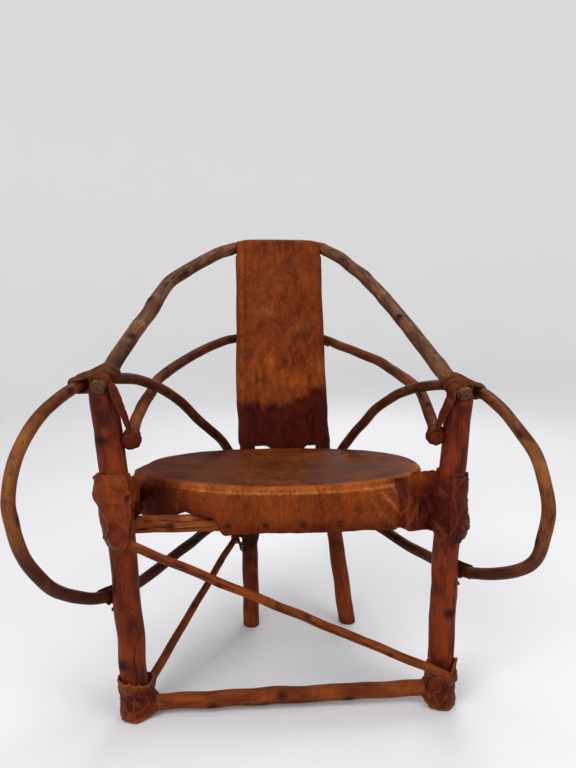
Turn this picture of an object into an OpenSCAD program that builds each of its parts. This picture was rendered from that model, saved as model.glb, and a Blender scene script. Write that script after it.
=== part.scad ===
// A low lashed stick chair: bent withes, two back poles, and hide stretched over seat and back.
// Everything is worked out in a frame whose Y = 0 is the front legs' plane, then centred.

/* [Front posts] */
// Distance between the front legs at the floor
leg_gap = 426; // [360:2:512]
// Diameter of the front posts
post_d = 36; // [30:1:44]
// Height of the left front post
left_post_h = 458; // [400:1:550]
// Height of the right front post
right_post_h = 446; // [390:1:540]
// How far the left post's top leans outwards
left_post_lean = 34; // [10:1:45]
// How far the right post's top leans outwards
right_post_lean = 17; // [5:1:40]

/* [Back poles] */
// Distance from the front legs back to the feet of the back poles
pole_back = 234; // [205:1:285]
// Length of each back pole along its lean
pole_len = 686; // [570:1:820]
// Diameter of the back poles
pole_d = 26; // [22:1:31]
// Angle at which the back poles lean backwards
back_lean = 11.5; // [6:0.5:16]
// Distance between the back poles at seat height
pole_gap = 134; // [112:1:160]
// How far the right pole's top leans inwards
right_pole_in = 10; // [0:1:16]

/* [Bent withes] */
// Diameter of the crest bow
crest_d = 22; // [18:1:26]
// Diameter of the middle bow
mid_d = 17; // [14:1:20]
// Height of the middle bow's ends on the front posts
mid_end_z = 385; // [350:1:410]
// Distance along the back poles to the middle bow
mid_back_h = 528; // [470:1:600]
// Diameter of the arm hoops
hoop_d = 16; // [13:1:19]
// How far the left arm hoop reaches past its post
left_ear = 138; // [110:1:166]
// How far the right arm hoop reaches past its post
right_ear = 131; // [105:1:160]
// Height of the left arm hoop where it passes its leg
left_hoop_low = 165; // [145:1:200]
// Height of the right arm hoop where it passes its leg
right_hoop_low = 189; // [155:1:215]

/* [Seat] */
// Height of the seat's top
seat_h = 313; // [290:1:335]
// Width of the seat
seat_w = 444; // [370:2:532]
// Gap between the seat's back edge and the back poles
seat_pole_gap = 11; // [9:1:24]
// Depth of the hide skirt at the front
skirt_drop = 63; // [56:1:75]
// Diameter of the bent hoop under the hide's edge
rim_d = 20; // [16:1:22]
// Diameter of the sticks that carry the seat
bearer_d = 16; // [12:1:20]
// Distance from one seat stick to the next
bearer_pitch = 56; // [48:1:62]
// Diameter of the front seat rail
rail_d = 24; // [20:1:28]
// Diameter of the rear seat rail
rear_rail_d = 22; // [18:1:26]
// Distance from one hide peg to the next
peg_pitch = 52; // [40:1:56]
// Diameter of the hide pegs
peg_d = 5; // [4:0.5:7]

/* [Stretcher and braces] */
// Diameter of the foot stretcher
stretcher_d = 21; // [17:1:25]
// Diameter of the long front brace
long_brace_d = 12; // [10:1:15]
// Diameter of the short side brace
short_brace_d = 13; // [11:1:16]

/* [Leather] */
// Thickness of the hide and of the back panel
leather_t = 3; // [2:0.5:4]
// Thickness of the cuffs at the posts
cuff_t = 5; // [4:0.5:7]
// Thickness of the thongs that tie the sticks
thong_t = 2.8; // [2:0.2:3.4]
// Free space between pieces that touch
fit = 0.3; // [0.2:0.05:0.5]

/* [Hidden] */
LEFT = -1;
RIGHT = 1;
post_r = post_d / 2;
pole_r = pole_d / 2;
pole_taper = 1.5; // a back pole's foot is this much thicker in radius than its top
crest_r = crest_d / 2;
mid_r = mid_d / 2;
hoop_r = hoop_d / 2;
rail_r = rail_d / 2;
rear_rail_r = rear_rail_d / 2;
stretcher_r = stretcher_d / 2;
long_r = long_brace_d / 2;
short_r = short_brace_d / 2;
below = 12; // how far a leg is drawn past the floor before it is cut flat

// Heights of the seat's layers, from the hide down to the front rail
hide_under = seat_h - leather_t;
rim_z = hide_under - fit - rim_d / 2;
bearer_z = rim_z - rim_d / 2 - fit - bearer_d / 2;
rail_z = bearer_z - bearer_d / 2 - fit - rail_r;
rear_rail_z = rail_z + rail_r - rear_rail_r;
rail_y = post_r + fit + rail_r;
rear_rail_y = pole_y(rear_rail_z) - pole_radius(rear_rail_z) / cos(back_lean) - fit - rear_rail_r;
rail_over = 34; // how far the front rail runs past the posts

// Plan of the seat: an oval with a flatter back
seat_x = -4;
seat_front = post_r - leather_t;
seat_back = pole_y(seat_h) - pole_r / cos(back_lean) - seat_pole_gap;
seat_y = (seat_front + seat_back) / 2;
seat_b = (seat_back - seat_front) / 2;
side_skirt_z = rail_z + rail_r + 2;

// Back panel: a sleeve of hide round both poles
panel_in = pole_r + thong_t + 2 * fit;
panel_out = panel_in + leather_t;
panel_low = (seat_h + 9) / cos(back_lean);
crest_h = pole_len + fit + crest_r + 1.5;
panel_slit = 26; // from a pole's axis to the edge of the open back

// Foot of each back pole is splayed to the right of its upper part
pole_mid = 4;
bend_h = seat_h + 17;
left_foot_shift = 7;
right_foot_shift = 38;

// ---- plain helpers ----
function unit(v) = v / norm(v);
function lerp(a, b, t) = a + (b - a) * t;
function clamp(v) = min(1, max(0, v));
function ramp(v, a, b) = clamp((v - a) / (b - a));
function curve(a, b, c, d, t) = 0.5 * (2 * b + (c - a) * t + (2 * a - 5 * b + 4 * c - d) * t * t
    + (3 * b - a - 3 * c + d) * t * t * t);
function smooth(p, n) = let (m = len(p) - 1) [
    for (i = [0 : m - 1], j = [0 : n - 1])
        curve(p[max(i - 1, 0)], p[i], p[i + 1], p[min(i + 2, m)], j / n),
    p[m]
];
function heading(p, i) = unit(p[min(i + 1, len(p) - 1)] - p[max(i - 1, 0)]);
function ring(c, t, ref, r, n) = let (u = unit(cross(t, ref)), v = cross(t, u))
    [for (k = [0 : n - 1]) c + r * (cos(360 * k / n) * u + sin(360 * k / n) * v)];

// A round stick bent along a path; ref is never along the path
module stick(path, r1, r2, ref, n = 10) {
    m = len(path);
    points = [for (i = [0 : m - 1]) each
        ring(path[i], heading(path, i), ref, lerp(r1, r2, i / (m - 1)), n)];
    sides = [for (i = [0 : m - 2], k = [0 : n - 1])
        let (a = i * n + k, b = i * n + (k + 1) % n) each [[a, a + n, b + n], [a, b + n, b]]];
    caps = [[for (k = [0 : n - 1]) k], [for (k = [n - 1 : -1 : 0]) (m - 1) * n + k]];
    polyhedron(points, concat(sides, caps), convexity = 6);
}

// A straight stick between two points
module bar(a, b, r1, r2) {
    d = b - a;
    translate(a)
        rotate([0, acos(d.z / norm(d)), atan2(d.y, d.x)])
            cylinder(h = norm(d), r1 = r1, r2 = r2, $fn = 32);
}

// A round lump of thong; a ball of few sides is drawn fatter, so that it has the stated radius
module bead(p, r, sides = 8) {
    translate(p) sphere(r / 0.92, $fn = sides);
}

// One turn of a tie round two sticks
module turn(p, rp, q, rq, sides = 8) {
    hull() {
        bead(p, rp, sides);
        bead(q, rq, sides);
    }
}

// A thin disc whose axis points along way
module disc(p, way, r, h) {
    translate(p)
        rotate([0, acos(way.z / norm(way)), atan2(way.y, way.x)])
            cylinder(h = h, r = r, center = true, $fn = 10);
}

// Several turns of thong side by side, each a little fatter or thinner than the last
module lashing(p, rp, q, rq, step, turns = 8) {
    for (k = [0 : turns - 1]) {
        shift = step * (k - (turns - 1) / 2);
        fat = thong_t * (1 + 0.3 * sin(137 * k));
        hull() {
            disc(p + shift, step, rp + fat, 1.15 * norm(step));
            disc(q + shift, step, rq + fat, 1.15 * norm(step));
        }
    }
}

module centred() {
    translate([-mid_x, -mid_y, 0]) children();
}

// Everything at or above the floor
module above_floor() {
    difference() {
        children();
        translate([-600, -600, -60]) cube([1200, 1800, 60]);
    }
}

// ---- where the sticks run ----
function post_h(side) = side == LEFT ? left_post_h : right_post_h;
function post_x(side, z) = side == LEFT
    ? -leg_gap / 2 - left_post_lean * pow(clamp(z / left_post_h), 1.5)
    : leg_gap / 2 + right_post_lean * pow(clamp(z / right_post_h), 2.5);
function post_at(side, z) = [post_x(side, z), 0, z];
function post_path(side) = [for (k = [-1 : 12]) post_at(side, k < 0 ? -below : post_h(side) * k / 12)];

function pole_y(z) = pole_back + z * tan(back_lean);
function pole_radius(h) = pole_r + pole_taper * (1 - h / pole_len);
function pole_x(side, h) = pole_mid + side * pole_gap / 2
    - (side == RIGHT ? right_pole_in * (h - bend_h) / (pole_len - bend_h) : 0)
    + (side == RIGHT ? right_foot_shift : left_foot_shift) * pow(clamp(1 - h / bend_h), 1.1);
// A point off the back poles' plane by n, at the distance h along them
function on_back(x, n, h) = [
    x,
    pole_back + h * sin(back_lean) + n * cos(back_lean),
    h * cos(back_lean) - n * sin(back_lean)
];
function pole_at(side, h) = on_back(pole_x(side, h), 0, h);
function pole_path(side) = [for (k = [-1 : 12]) pole_at(side, k < 0 ? -below : pole_len * k / 12)];

// A bow's half from a front post to a pole: [share of the way across, share of the way back]
function bow_half(half, from, to) = [for (q = half)
    [lerp(from.x, to.x, q[0]), lerp(from.y, to.y, q[1]), lerp(from.z, to.z, q[1])]];
function reversed(p) = [for (i = [len(p) - 1 : -1 : 0]) p[i]];

crest_left = [[0, 0], [0.05, 0.12], [0.12, 0.28], [0.22, 0.48], [0.285, 0.635], [0.37, 0.72],
    [0.51, 0.81], [0.68, 0.91], [0.84, 0.975], [1, 1]];
crest_right = [[0, 0], [0.10, 0.11], [0.17, 0.24], [0.25, 0.39], [0.33, 0.52], [0.42, 0.65],
    [0.52, 0.76], [0.66, 0.88], [0.82, 0.97], [1, 1]];
function crest_end(side) = [post_x(side, post_h(side)), -post_r - 4, post_h(side) - 1];
function crest_path() = smooth(concat(
    bow_half(crest_left, crest_end(LEFT), on_back(pole_x(LEFT, pole_len), 0, crest_h)),
    reversed(bow_half(crest_right, crest_end(RIGHT), on_back(pole_x(RIGHT, pole_len), 0, crest_h)))
), 2);

mid_left = [[0, 0], [0.08, 0.54], [0.22, 0.66], [0.40, 0.79], [0.66, 0.92], [1, 1]];
mid_right = [[0, 0], [-0.01, 0.51], [0.15, 0.66], [0.37, 0.77], [0.66, 0.89], [1, 1]];
mid_reach = post_r + mid_r + fit + 1.5;
mid_end_y = -8; // the middle bow's ends hang a little in front of the posts' axes
mid_rise = 0.19; // share of the way back at which it swells out behind its post
mid_swell_left = 2.96;
mid_swell_right = 10.49;
tie_slack = 3; // room for the thong between the middle bow and the back poles
cross_slant = 1.56;
cross_post = 0.42;
cross_less = cross_slant * 16.8 + cross_post * 18 - 21.3;
function mid_end(side) = [post_x(side, mid_end_z) - side * mid_reach, mid_end_y, mid_end_z];
function mid_back(side) = on_back(
    pole_x(side, mid_back_h),
    pole_radius(mid_back_h) + mid_r + fit + tie_slack,
    mid_back_h
);
// The middle bow runs just outside the arm hoop where the two cross at a slant, so it
// stands off by more than the two sticks' radii, and by more behind a thicker post
function mid_cross(side) = let (
        h = side == LEFT ? left_hoop : right_hoop,
        q = lerp(h[7], h[8], side == LEFT ? 0.3 : 0.9),
        off = hoop_side(side) * (cross_slant * (mid_r + hoop_r + fit) + cross_post * post_r - cross_less)
    ) q + [off.x, off.y, 0];
function mid_half(side) = let (
        c = bow_half(side == LEFT ? mid_left : mid_right, mid_end(side), mid_back(side)),
        up = lerp(mid_end(side), mid_back(side), mid_rise),
        out = side == LEFT ? mid_swell_left : mid_swell_right
    ) [
        c[0],
        [mid_end(side).x + side * out, up.y, up.z],
        mid_cross(side),
        for (i = [1 : len(c) - 1]) c[i]
    ];
function mid_path() = smooth(concat(mid_half(LEFT), reversed(mid_half(RIGHT))), 2);

// Each arm hoop lies in one plane, past the outer side of its post and of its back pole.
// Points are [share of the way to the pole or of the reach past the post, share of the height].
hoop_shape_left = [[-0.70, 0.70], [-0.54, 0.84], [-0.39, 0.935], [-0.22, 0.985], [-0.05, 1],
    [0.15, 0.975], [0.40, 0.925], [0.66, 0.845], [0.88, 0.727], [0.98, 0.61], [1, 0.50],
    [0.93, 0.35], [0.72, 0.185], [0.40, 0.075], [0.05, 0.015], [-0.18, 0], [-0.55, 0.05],
    [-1.04, 0.11]];
hoop_shape_right = [[-0.66, 0.775], [-0.53, 0.875], [-0.40, 0.945], [-0.22, 0.995], [0, 0.99],
    [0.24, 0.95], [0.50, 0.865], [0.76, 0.755], [0.93, 0.61], [1, 0.45], [0.96, 0.285],
    [0.82, 0.18], [0.55, 0.095], [0.25, 0.04], [0, 0.01], [-0.28, 0], [-0.60, 0.035],
    [-1.04, 0.085]];
function hoop_low(side) = side == LEFT ? left_hoop_low : right_hoop_low;
function hoop_top(side) = post_h(side) + (side == LEFT ? 7 : 4);
function ear(side) = side == LEFT ? left_ear : right_ear;
function flat(p) = [p.x, p.y];
hoop_tie_h = seat_h - 40;
hoop_heel_z = seat_h - 46; // the arc over the seat ends beside its back pole, below the seat
hoop_inwards = 5; // how far the arc over the seat bows inwards
function hoop_way(side) =
    flat(post_at(side, post_h(side) * 0.68) - pole_at(side, hoop_tie_h) - [side * 2, 0, 0]);
function hoop_side(side) = let (d = unit(hoop_way(side))) side * [-d.y, d.x];
// The hoop's passing point beside its post at the height z
function beside_post(side, z) = let (
        low = post_at(side, hoop_low(side)),
        high = post_at(side, post_h(side)),
        off = hoop_side(side) * (post_r + hoop_r + fit)
    ) lerp(low, high, (z - low.z) / (high.z - low.z)) + [off.x, off.y, 0];
function hoop_at(side, s, z) = let (
        d = unit(hoop_way(side)),
        reach = s < 0 ? s * norm(hoop_way(side)) : s * ear(side),
        sag = s < 0 && z > seat_h ? hoop_inwards * sin(180 * clamp(-s)) : 0,
        off = hoop_side(side) * -sag
    ) beside_post(side, z) + [reach * d.x + off.x, reach * d.y + off.y, 0];
function hoop_path(side) = smooth(concat(
    [hoop_at(side, -1.04, hoop_heel_z), hoop_at(side, -0.90, seat_h + (side == LEFT ? 12 : 9))],
    [for (q = side == LEFT ? hoop_shape_left : hoop_shape_right)
        hoop_at(side, q[0], lerp(hoop_low(side), hoop_top(side), q[1]))]
), 2);

// The part's middle, from the pieces that reach furthest
left_hoop = hoop_path(LEFT);
right_hoop = hoop_path(RIGHT);
mid_x = (min([for (p = left_hoop) p.x]) + max([for (p = right_hoop) p.x])) / 2;
front_y = min([for (p = concat(left_hoop, right_hoop)) p.y]) - hoop_r;
back_y = on_back(0, panel_out, pole_len).y;
mid_y = (front_y + back_y) / 2;

// ---- sticks; grow makes the same stick fatter, for the seats cut round it ----
module post_stick(side, grow = 0) {
    above_floor() stick(post_path(side), post_r + grow, post_r + grow, [0, 1, 0], 14);
}

// The post with the hollow in its top that the crest bow's end rests in
module cupped_post(side) {
    path = crest_path();
    m = len(path) - 1;
    difference() {
        post_stick(side);
        stick(side == LEFT ? [for (i = [0 : 4]) path[i]] : [for (i = [m - 4 : m]) path[i]],
            crest_r + fit, crest_r + fit, [0, -1, 2], 10);
    }
}

module pole_stick(side, grow = 0) {
    above_floor() stick(pole_path(side), pole_r + pole_taper + grow, pole_r + grow, [1, 0, 0], 12);
}

module crest_stick(grow = 0) {
    stick(crest_path(), crest_r + grow, crest_r + grow, [0, -1, 2], 10);
}

module mid_stick(grow = 0) {
    stick(mid_path(), mid_r + grow, mid_r + grow, [0, -1, 2], 10);
}

module hoop_stick(side, grow = 0) {
    stick(side == LEFT ? left_hoop : right_hoop, hoop_r + grow, hoop_r + grow,
        concat(hoop_side(side), [0]), 10);
}

module front_rail_stick(grow = 0) {
    a = [post_x(LEFT, rail_z) - rail_over / 2, rail_y, rail_z];
    b = [post_x(RIGHT, rail_z) + rail_over, rail_y, rail_z];
    bar(a, b, rail_r + grow, rail_r + grow);
}

module rear_rail_stick(grow = 0) {
    a = [pole_x(LEFT, rear_rail_z) - pole_r - 30, rear_rail_y, rear_rail_z];
    b = [pole_x(RIGHT, rear_rail_z) + pole_r + 30, rear_rail_y, rear_rail_z];
    bar(a, b, rear_rail_r + grow, rear_rail_r + grow);
}

stretcher_left_z = stretcher_r + 6;
stretcher_right_z = stretcher_r + 13;
stretcher_a = [post_x(LEFT, 0) + post_r + fit, 0, stretcher_left_z];
stretcher_b = [post_x(RIGHT, 0) - post_r - fit, 0, stretcher_right_z];
module stretcher_stick(grow = 0) {
    way = unit(stretcher_b - stretcher_a) * 5 * grow;
    bar(stretcher_a - way, stretcher_b + way, stretcher_r + grow, stretcher_r + grow);
}

long_y = -post_r - long_r - fit;
long_foot_z = 51; // height of its end at the right foot
long_a = [post_x(LEFT, rail_z) - post_r / 3, long_y, rail_z + 1];
long_b = [post_x(RIGHT, long_foot_z) + 12, long_y, long_foot_z];
module long_brace_stick(grow = 0) {
    bar(long_a, long_b, long_r + grow, long_r + grow);
}

// From behind the left foot, up past the outer side of the left back pole
short_low = 32;
short_high = 162;
short_over = 18; // how far it runs past the back pole
short_way = unit(flat(pole_at(LEFT, short_high) - post_at(LEFT, short_low)));
short_side = [-short_way.y, short_way.x] * (pole_radius(short_high) + short_r + fit);
short_back = short_way * (post_r + short_r + fit + 3);
short_a = post_at(LEFT, short_low) + [short_back.x, short_back.y, 0];
short_b = pole_at(LEFT, short_high) + [short_side.x, short_side.y, 0];
module short_brace_stick(grow = 0) {
    bar(short_a, short_b + unit(short_b - short_a) * short_over, short_r + grow, short_r - 1 + grow);
}

// ---- seat ----
back_power = 2.4; // over 2, the oval's back half is fuller than its front half
function oval(t, inset) = let (
        c = cos(t),
        s = sin(t),
        power = s > 0 ? 2 / back_power : 1,
        a = seat_w / 2 - inset,
        b = seat_b - inset
    ) [seat_x + sign(c) * a * pow(abs(c), power), seat_y + sign(s) * b * pow(abs(s), power)];

module rim_stick() {
    steps = 36;
    sides = 10;
    inset = leather_t + 2 * fit + rim_d / 2;
    track = [for (i = [0 : steps - 1]) let (q = oval(360 * i / steps, inset)) [q.x, q.y, rim_z]];
    points = [for (i = [0 : steps - 1]) each ring(track[i],
        unit(track[(i + 1) % steps] - track[(i + steps - 1) % steps]), [0, 0, 1], rim_d / 2, sides)];
    faces = [for (i = [0 : steps - 1], k = [0 : sides - 1])
        let (a = i * sides + k, b = i * sides + (k + 1) % sides,
            c = ((i + 1) % steps) * sides + k, d = ((i + 1) % steps) * sides + (k + 1) % sides)
        each [[a, c, d], [a, d, b]]];
    polyhedron(points, faces, convexity = 6);
}

// How far the oval reaches forward or back at x, as a share of its half depth
function reach_at(x, power) = pow(1 - pow(abs(x - seat_x) / (seat_w / 2), power), 1 / power);
module seat_stick(i) {
    x = seat_x + bearer_pitch * (i - 2.5);
    edge = abs(x - seat_x) + bearer_d / 2;
    // inside the hide's edge, and always far enough forward to lie on the front rail
    front = min(seat_y - seat_b * reach_at(seat_x + edge, 2) + leather_t + 1, rail_y + 0.5);
    back = seat_y + seat_b * reach_at(seat_x + edge, back_power) - leather_t - 1;
    bar([x, front, bearer_z], [x, back, bearer_z], bearer_d / 2, bearer_d / 2);
}

// The skirt's lower edge stays above the front rail, but for the apron that hangs over it
apron_left = seat_x - 1.5 * peg_pitch - 13;
apron_right = post_x(RIGHT, rail_z) - post_r - cuff_t - 14;
function apron_out(x) =
    ramp(x, apron_left - 52, apron_left - 28) * ramp(-x, -apron_right - 14, -apron_right);
function apron_down(x) =
    ramp(x, apron_left - 8, apron_left) * ramp(-x, -apron_right + 22, -apron_right + 30);
// The hide's surface: t goes round, row goes from the rim down, inset is 0 outside
function skirt_point(t, down, inset) = let (
        top = oval(t, inset),
        front = sin(t) < 0,
        out = front ? apron_out(top.x) : 0,
        foot_y = lerp(top.y, seat_front + inset, out),
        foot_z = lerp(side_skirt_z, seat_h - skirt_drop, front ? apron_down(top.x) : 0)
    ) [top.x, lerp(top.y, foot_y, sin(90 * clamp(2 * down))), lerp(seat_h - 6, foot_z, down)];
function top_point(t, share, drop, inset) = let (q = oval(t, inset))
    [lerp(seat_x, q.x, share), lerp(seat_y, q.y, share), seat_h - drop];

module hide_shell() {
    steps = 72;
    turns = [for (i = [0 : steps - 1]) 360 * (i + 0.5) / steps];
    outer = [
        [for (t = turns) top_point(t, 0.45, 1, 0)],
        [for (t = turns) top_point(t, 0.85, 0, 0)],
        [for (t = turns) top_point(t, 0.975, 0.8, 0)],
        for (down = [0, 0.25, 0.5, 1]) [for (t = turns) skirt_point(t, down, 0)]
    ];
    inner = [
        for (down = [1, 0.5, 0.25, 0]) [for (t = turns) skirt_point(t, down, leather_t)],
        [for (t = turns) top_point(t, 0.975, leather_t + 0.8, leather_t)],
        [for (t = turns) top_point(t, 0.85, leather_t, leather_t)],
        [for (t = turns) top_point(t, 0.45, leather_t + 1, leather_t)]
    ];
    rows = concat(outer, inner);
    last = len(rows) - 1;
    points = concat([for (row = rows) each row],
        [[seat_x, seat_y, seat_h - 1.5], [seat_x, seat_y, seat_h - 1.5 - leather_t]]);
    top_hub = len(rows) * steps;
    faces = concat(
        [for (i = [0 : last - 1], k = [0 : steps - 1])
            let (a = i * steps + k, b = i * steps + (k + 1) % steps)
            each [[a, b, b + steps], [a, b + steps, a + steps]]],
        [for (k = [0 : steps - 1]) [top_hub, (k + 1) % steps, k]],
        [for (k = [0 : steps - 1]) [top_hub + 1, last * steps + k, last * steps + (k + 1) % steps]]
    );
    polyhedron(points, faces, convexity = 8);
}

module peg_row(r, from, to) {
    for (i = [-1.5 : 1 : 1.5])
        translate([seat_x - 4 + i * peg_pitch, from, rail_z])
            rotate([-90, 0, 0]) cylinder(h = to - from, r = r, $fn = 24);
}

// ---- back panel, drawn along the back poles' lean ----
module lean() {
    translate([0, pole_back, 0]) rotate([-back_lean, 0, 0]) children();
}

// A thin slice of the sleeve at the distance h along the poles
module sleeve_slice(h, r) {
    for (side = [LEFT, RIGHT])
        translate([pole_x(side, min(h, pole_len)), 0, h]) cylinder(h = 0.1, r = r, $fn = 24);
}

module sleeve(r, fold_r, low) {
    heights = [low, lerp(low, pole_len, 0.33), lerp(low, pole_len, 0.66), pole_len - 22];
    for (k = [0 : 2]) hull() {
        sleeve_slice(heights[k], r);
        sleeve_slice(heights[k + 1], r);
    }
    hull() {
        sleeve_slice(heights[3], r);
        for (side = [LEFT, RIGHT])
            translate([pole_x(side, pole_len) + side * (r - 1), 0, crest_h])
                rotate([0, 90, 0]) cylinder(h = 2, r = fold_r, center = true, $fn = 24);
    }
}

module panel_shell() {
    difference() {
        lean() difference() {
            sleeve(panel_out, crest_r + fit + leather_t, panel_low);
            sleeve(panel_in, crest_r + fit, panel_low - 1);
            // the open back between the two flaps
            translate([pole_x(LEFT, mid_back_h) + panel_slit, 0, panel_low - 1])
                cube([pole_x(RIGHT, mid_back_h) - pole_x(LEFT, mid_back_h) - 2 * panel_slit,
                    panel_out + 5, pole_len - 50 - panel_low]);
            // notches where the middle bow is tied to the poles
            for (side = [LEFT, RIGHT])
                translate([pole_x(side, mid_back_h) - side * 5, panel_out, mid_back_h])
                    cube([2 * panel_in + 12, 2 * panel_out, 34], center = true);
        }
        crest_stick(fit);
        mid_stick(fit);
    }
}

// A zigzag thong over the open back, left out where the middle bow crosses
module lacing() {
    n = panel_out + fit + 2;
    x1 = pole_x(LEFT, mid_back_h) + panel_slit - 8;
    x2 = pole_x(RIGHT, mid_back_h) - panel_slit + 8;
    spans = [[panel_low + 20, mid_back_h - 34, 8], [mid_back_h + 34, pole_len - 62, 4]];
    for (span = spans, i = [0 : span[2] - 1]) {
        h1 = lerp(span[0], span[1], i / span[2]);
        h2 = lerp(span[0], span[1], (i + 1) / span[2]);
        hull() {
            bead(on_back(i % 2 == 0 ? x1 : x2, n, h1), 1.6, 6);
            bead(on_back(i % 2 == 0 ? x2 : x1, n, h2), 1.6, 6);
        }
    }
}

// ---- cuffs, bindings and ties ----
// A leather sleeve down a post, with a bulge that takes in the sticks tied there
module cuff_sleeve(side, low, high, thick) {
    slices = 8;
    for (k = [0 : slices - 1]) hull() {
        for (j = [k, k + 1]) {
            z = lerp(low, high, j / slices);
            translate(post_at(side, z))
                cylinder(h = 0.1, r = post_r + thick * (0.85 + 0.25 * sin(115 * j)), $fn = 16);
        }
    }
}

cuff_under = 8; // how far a post's cuff reaches below the front rail
cuff_over = 32; // how far it reaches above the seat
module post_cuff(side) {
    difference() {
        union() {
            cuff_sleeve(side, rail_z - rail_r - cuff_under, seat_h + cuff_over, cuff_t);
            for (dz = [-5, 5]) hull() {
                bead(post_at(side, rail_z + dz) - [post_r, 0, 0], cuff_t + 3);
                bead(post_at(side, rail_z + dz) + [post_r, 0, 0], cuff_t + 3);
                bead([post_x(side, rail_z) - post_r + 2, rail_y, rail_z + dz], rail_r + cuff_t - 3);
                bead([post_x(side, rail_z) + post_r - 2, rail_y, rail_z + dz], rail_r + cuff_t - 3);
            }
            if (side == LEFT) turn(long_a, long_r + cuff_t, long_a + [12, 6, -5], long_r + cuff_t);
        }
        post_stick(side, fit);
        front_rail_stick(fit);
        if (side == LEFT) long_brace_stick(fit);
    }
}

module foot_cuff(side) {
    low = 8;
    high = side == LEFT ? 62 : 68;
    wrap_z = 34;
    inner_x = post_x(side, 0) - side * (post_r + 8);
    difference() {
        union() {
            cuff_sleeve(side, low, high, cuff_t);
            turn([inner_x, 0, side == LEFT ? stretcher_left_z : stretcher_right_z],
                stretcher_r + cuff_t - 2, post_at(side, wrap_z), post_r + cuff_t - 2);
            if (side == LEFT) turn(short_a + unit(short_b - short_a) * 5, short_r + cuff_t - 1,
                post_at(side, wrap_z), post_r);
            if (side == RIGHT) turn([post_x(RIGHT, 50) + 4, long_y, 53], long_r + cuff_t - 1,
                [post_x(RIGHT, 50) - 10, long_y + 4, 60], long_r + cuff_t - 1);
        }
        post_stick(side, fit);
        stretcher_stick(fit);
        if (side == LEFT) short_brace_stick(fit);
        if (side == RIGHT) long_brace_stick(fit);
        translate([-600, -600, -60]) cube([1200, 1200, 63]);
    }
}

// The loop from the post's top down to the middle bow's end
function sling_top(side) = [post_x(side, post_h(side)) - side * 15, -post_r - 4, post_h(side) - 6];
function sling_turn(side) = mid_end(side) + [side * -3, -7, mid_r + 14];
module sling_chain(side, grow = 0) {
    a = sling_top(side);
    b = sling_turn(side);
    hull() {
        bead(a + [0, 0, 3], 3 + grow);
        bead(lerp(a, b, 0.5), 4 + grow);
    }
    hull() {
        bead(lerp(a, b, 0.5), 4 + grow);
        bead(b, 4.5 + grow);
    }
}

module sling_strap(side) {
    path = mid_path();
    n = len(path);
    end = side == LEFT ? path[0] : path[n - 1];
    next = side == LEFT ? path[2] : path[n - 3];
    way = unit(next - end);
    difference() {
        union() {
            sling_chain(side);
            hull() {
                bead(sling_turn(side), 4.5);
                bead(end + way * 8, mid_r + 3);
            }
            for (k = [0 : 5]) hull() {
                bead(end + way * (4 + 3 * k), mid_r + 3 + 0.6 * sin(140 * k));
                bead(end + way * (7 + 3 * k), mid_r + 3);
            }
        }
        mid_stick(fit);
        post_stick(side, fit);
        crest_stick(fit);
    }
}

module crest_binding(side) {
    path = crest_path();
    n = len(path);
    way = unit(side == LEFT ? path[2] - path[0] : path[n - 3] - path[n - 1]);
    start = crest_end(side);
    hoop = hoop_at(side, -0.02, hoop_top(side));
    difference() {
        union() {
            for (k = [0 : 5]) turn(start + way * (12 + 5 * k), crest_r + cuff_t - 1 + sin(150 * k),
                hoop + [0, 6 * (k - 2.5), 0], hoop_r + 2.5 + sin(110 * k));
            for (k = [0 : 3]) turn(start + way * (14 + 6 * k), crest_r + cuff_t - 2,
                post_at(side, post_h(side) - 12 - 3 * k), post_r + 3 + sin(120 * k));
        }
        post_stick(side, fit);
        crest_stick(fit);
        hoop_stick(side, fit);
        sling_chain(side, fit);
    }
}

module hoop_tie(side) {
    z = hoop_low(side) + 1;
    difference() {
        lashing(post_at(side, z), post_r, hoop_at(side, 0, z), hoop_r, [0, 0, 3.4]);
        post_stick(side, fit);
        hoop_stick(side, fit);
    }
}

module heel_tie(side) {
    z = lerp(hoop_low(side), hoop_top(side), 0.105);
    difference() {
        lashing(pole_at(side, z / cos(back_lean)), pole_radius(z), hoop_at(side, -0.99, z), hoop_r,
            [0, 0.6, 3.0]);
        pole_stick(side, fit);
        hoop_stick(side, fit);
    }
}

module rear_lashing(side) {
    z = seat_h - 30;
    h = z / cos(back_lean);
    low = rear_rail_z / cos(back_lean);
    difference() {
        union() {
            lashing(pole_at(side, h), pole_radius(h), hoop_at(side, -1.0, z), hoop_r, [0, 0.6, 3.8], 5);
            for (dx = [-6, 0, 6]) turn(
                pole_at(side, low + 3 + dx / 3), pole_radius(low) + thong_t,
                [pole_x(side, low) + dx, rear_rail_y, rear_rail_z], rear_rail_r + thong_t, 6);
        }
        pole_stick(side, fit);
        hoop_stick(side, fit);
        rear_rail_stick(fit);
        // nothing of the knot reaches up to the seat sticks or the skirt's back edge
        translate([seat_x - seat_w / 2, seat_front, bearer_z - bearer_d / 2 - fit])
            cube([seat_w, seat_back + fit - seat_front, 100]);
    }
}

module bow_tie(side) {
    x = pole_x(side, mid_back_h);
    difference() {
        for (k = [-3 : 2 : 3]) turn(on_back(x, 0, mid_back_h + 1.2 * k), pole_r + thong_t - 1,
            on_back(x + 1.6 * k, pole_r + mid_r + fit, mid_back_h), mid_r + thong_t + 1);
        pole_stick(side, fit);
        mid_stick(fit);
    }
}

module brace_knot() {
    difference() {
        lashing(pole_at(LEFT, short_high), pole_radius(short_high), short_b, short_r, [0, 0.5, 2.6]);
        pole_stick(LEFT, fit);
        short_brace_stick(fit);
    }
}

// ---- the pieces ----
post_wood = "#6e3319";
pole_wood = "#7a4220";
bow_wood = "#5f4330";
hoop_wood = "#94602f";
rail_wood = "#8f5022";
hide_brown = "#6b3a18";
hide_dark = "#4a1c12";
thong_brown = "#3a1d12";

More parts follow.
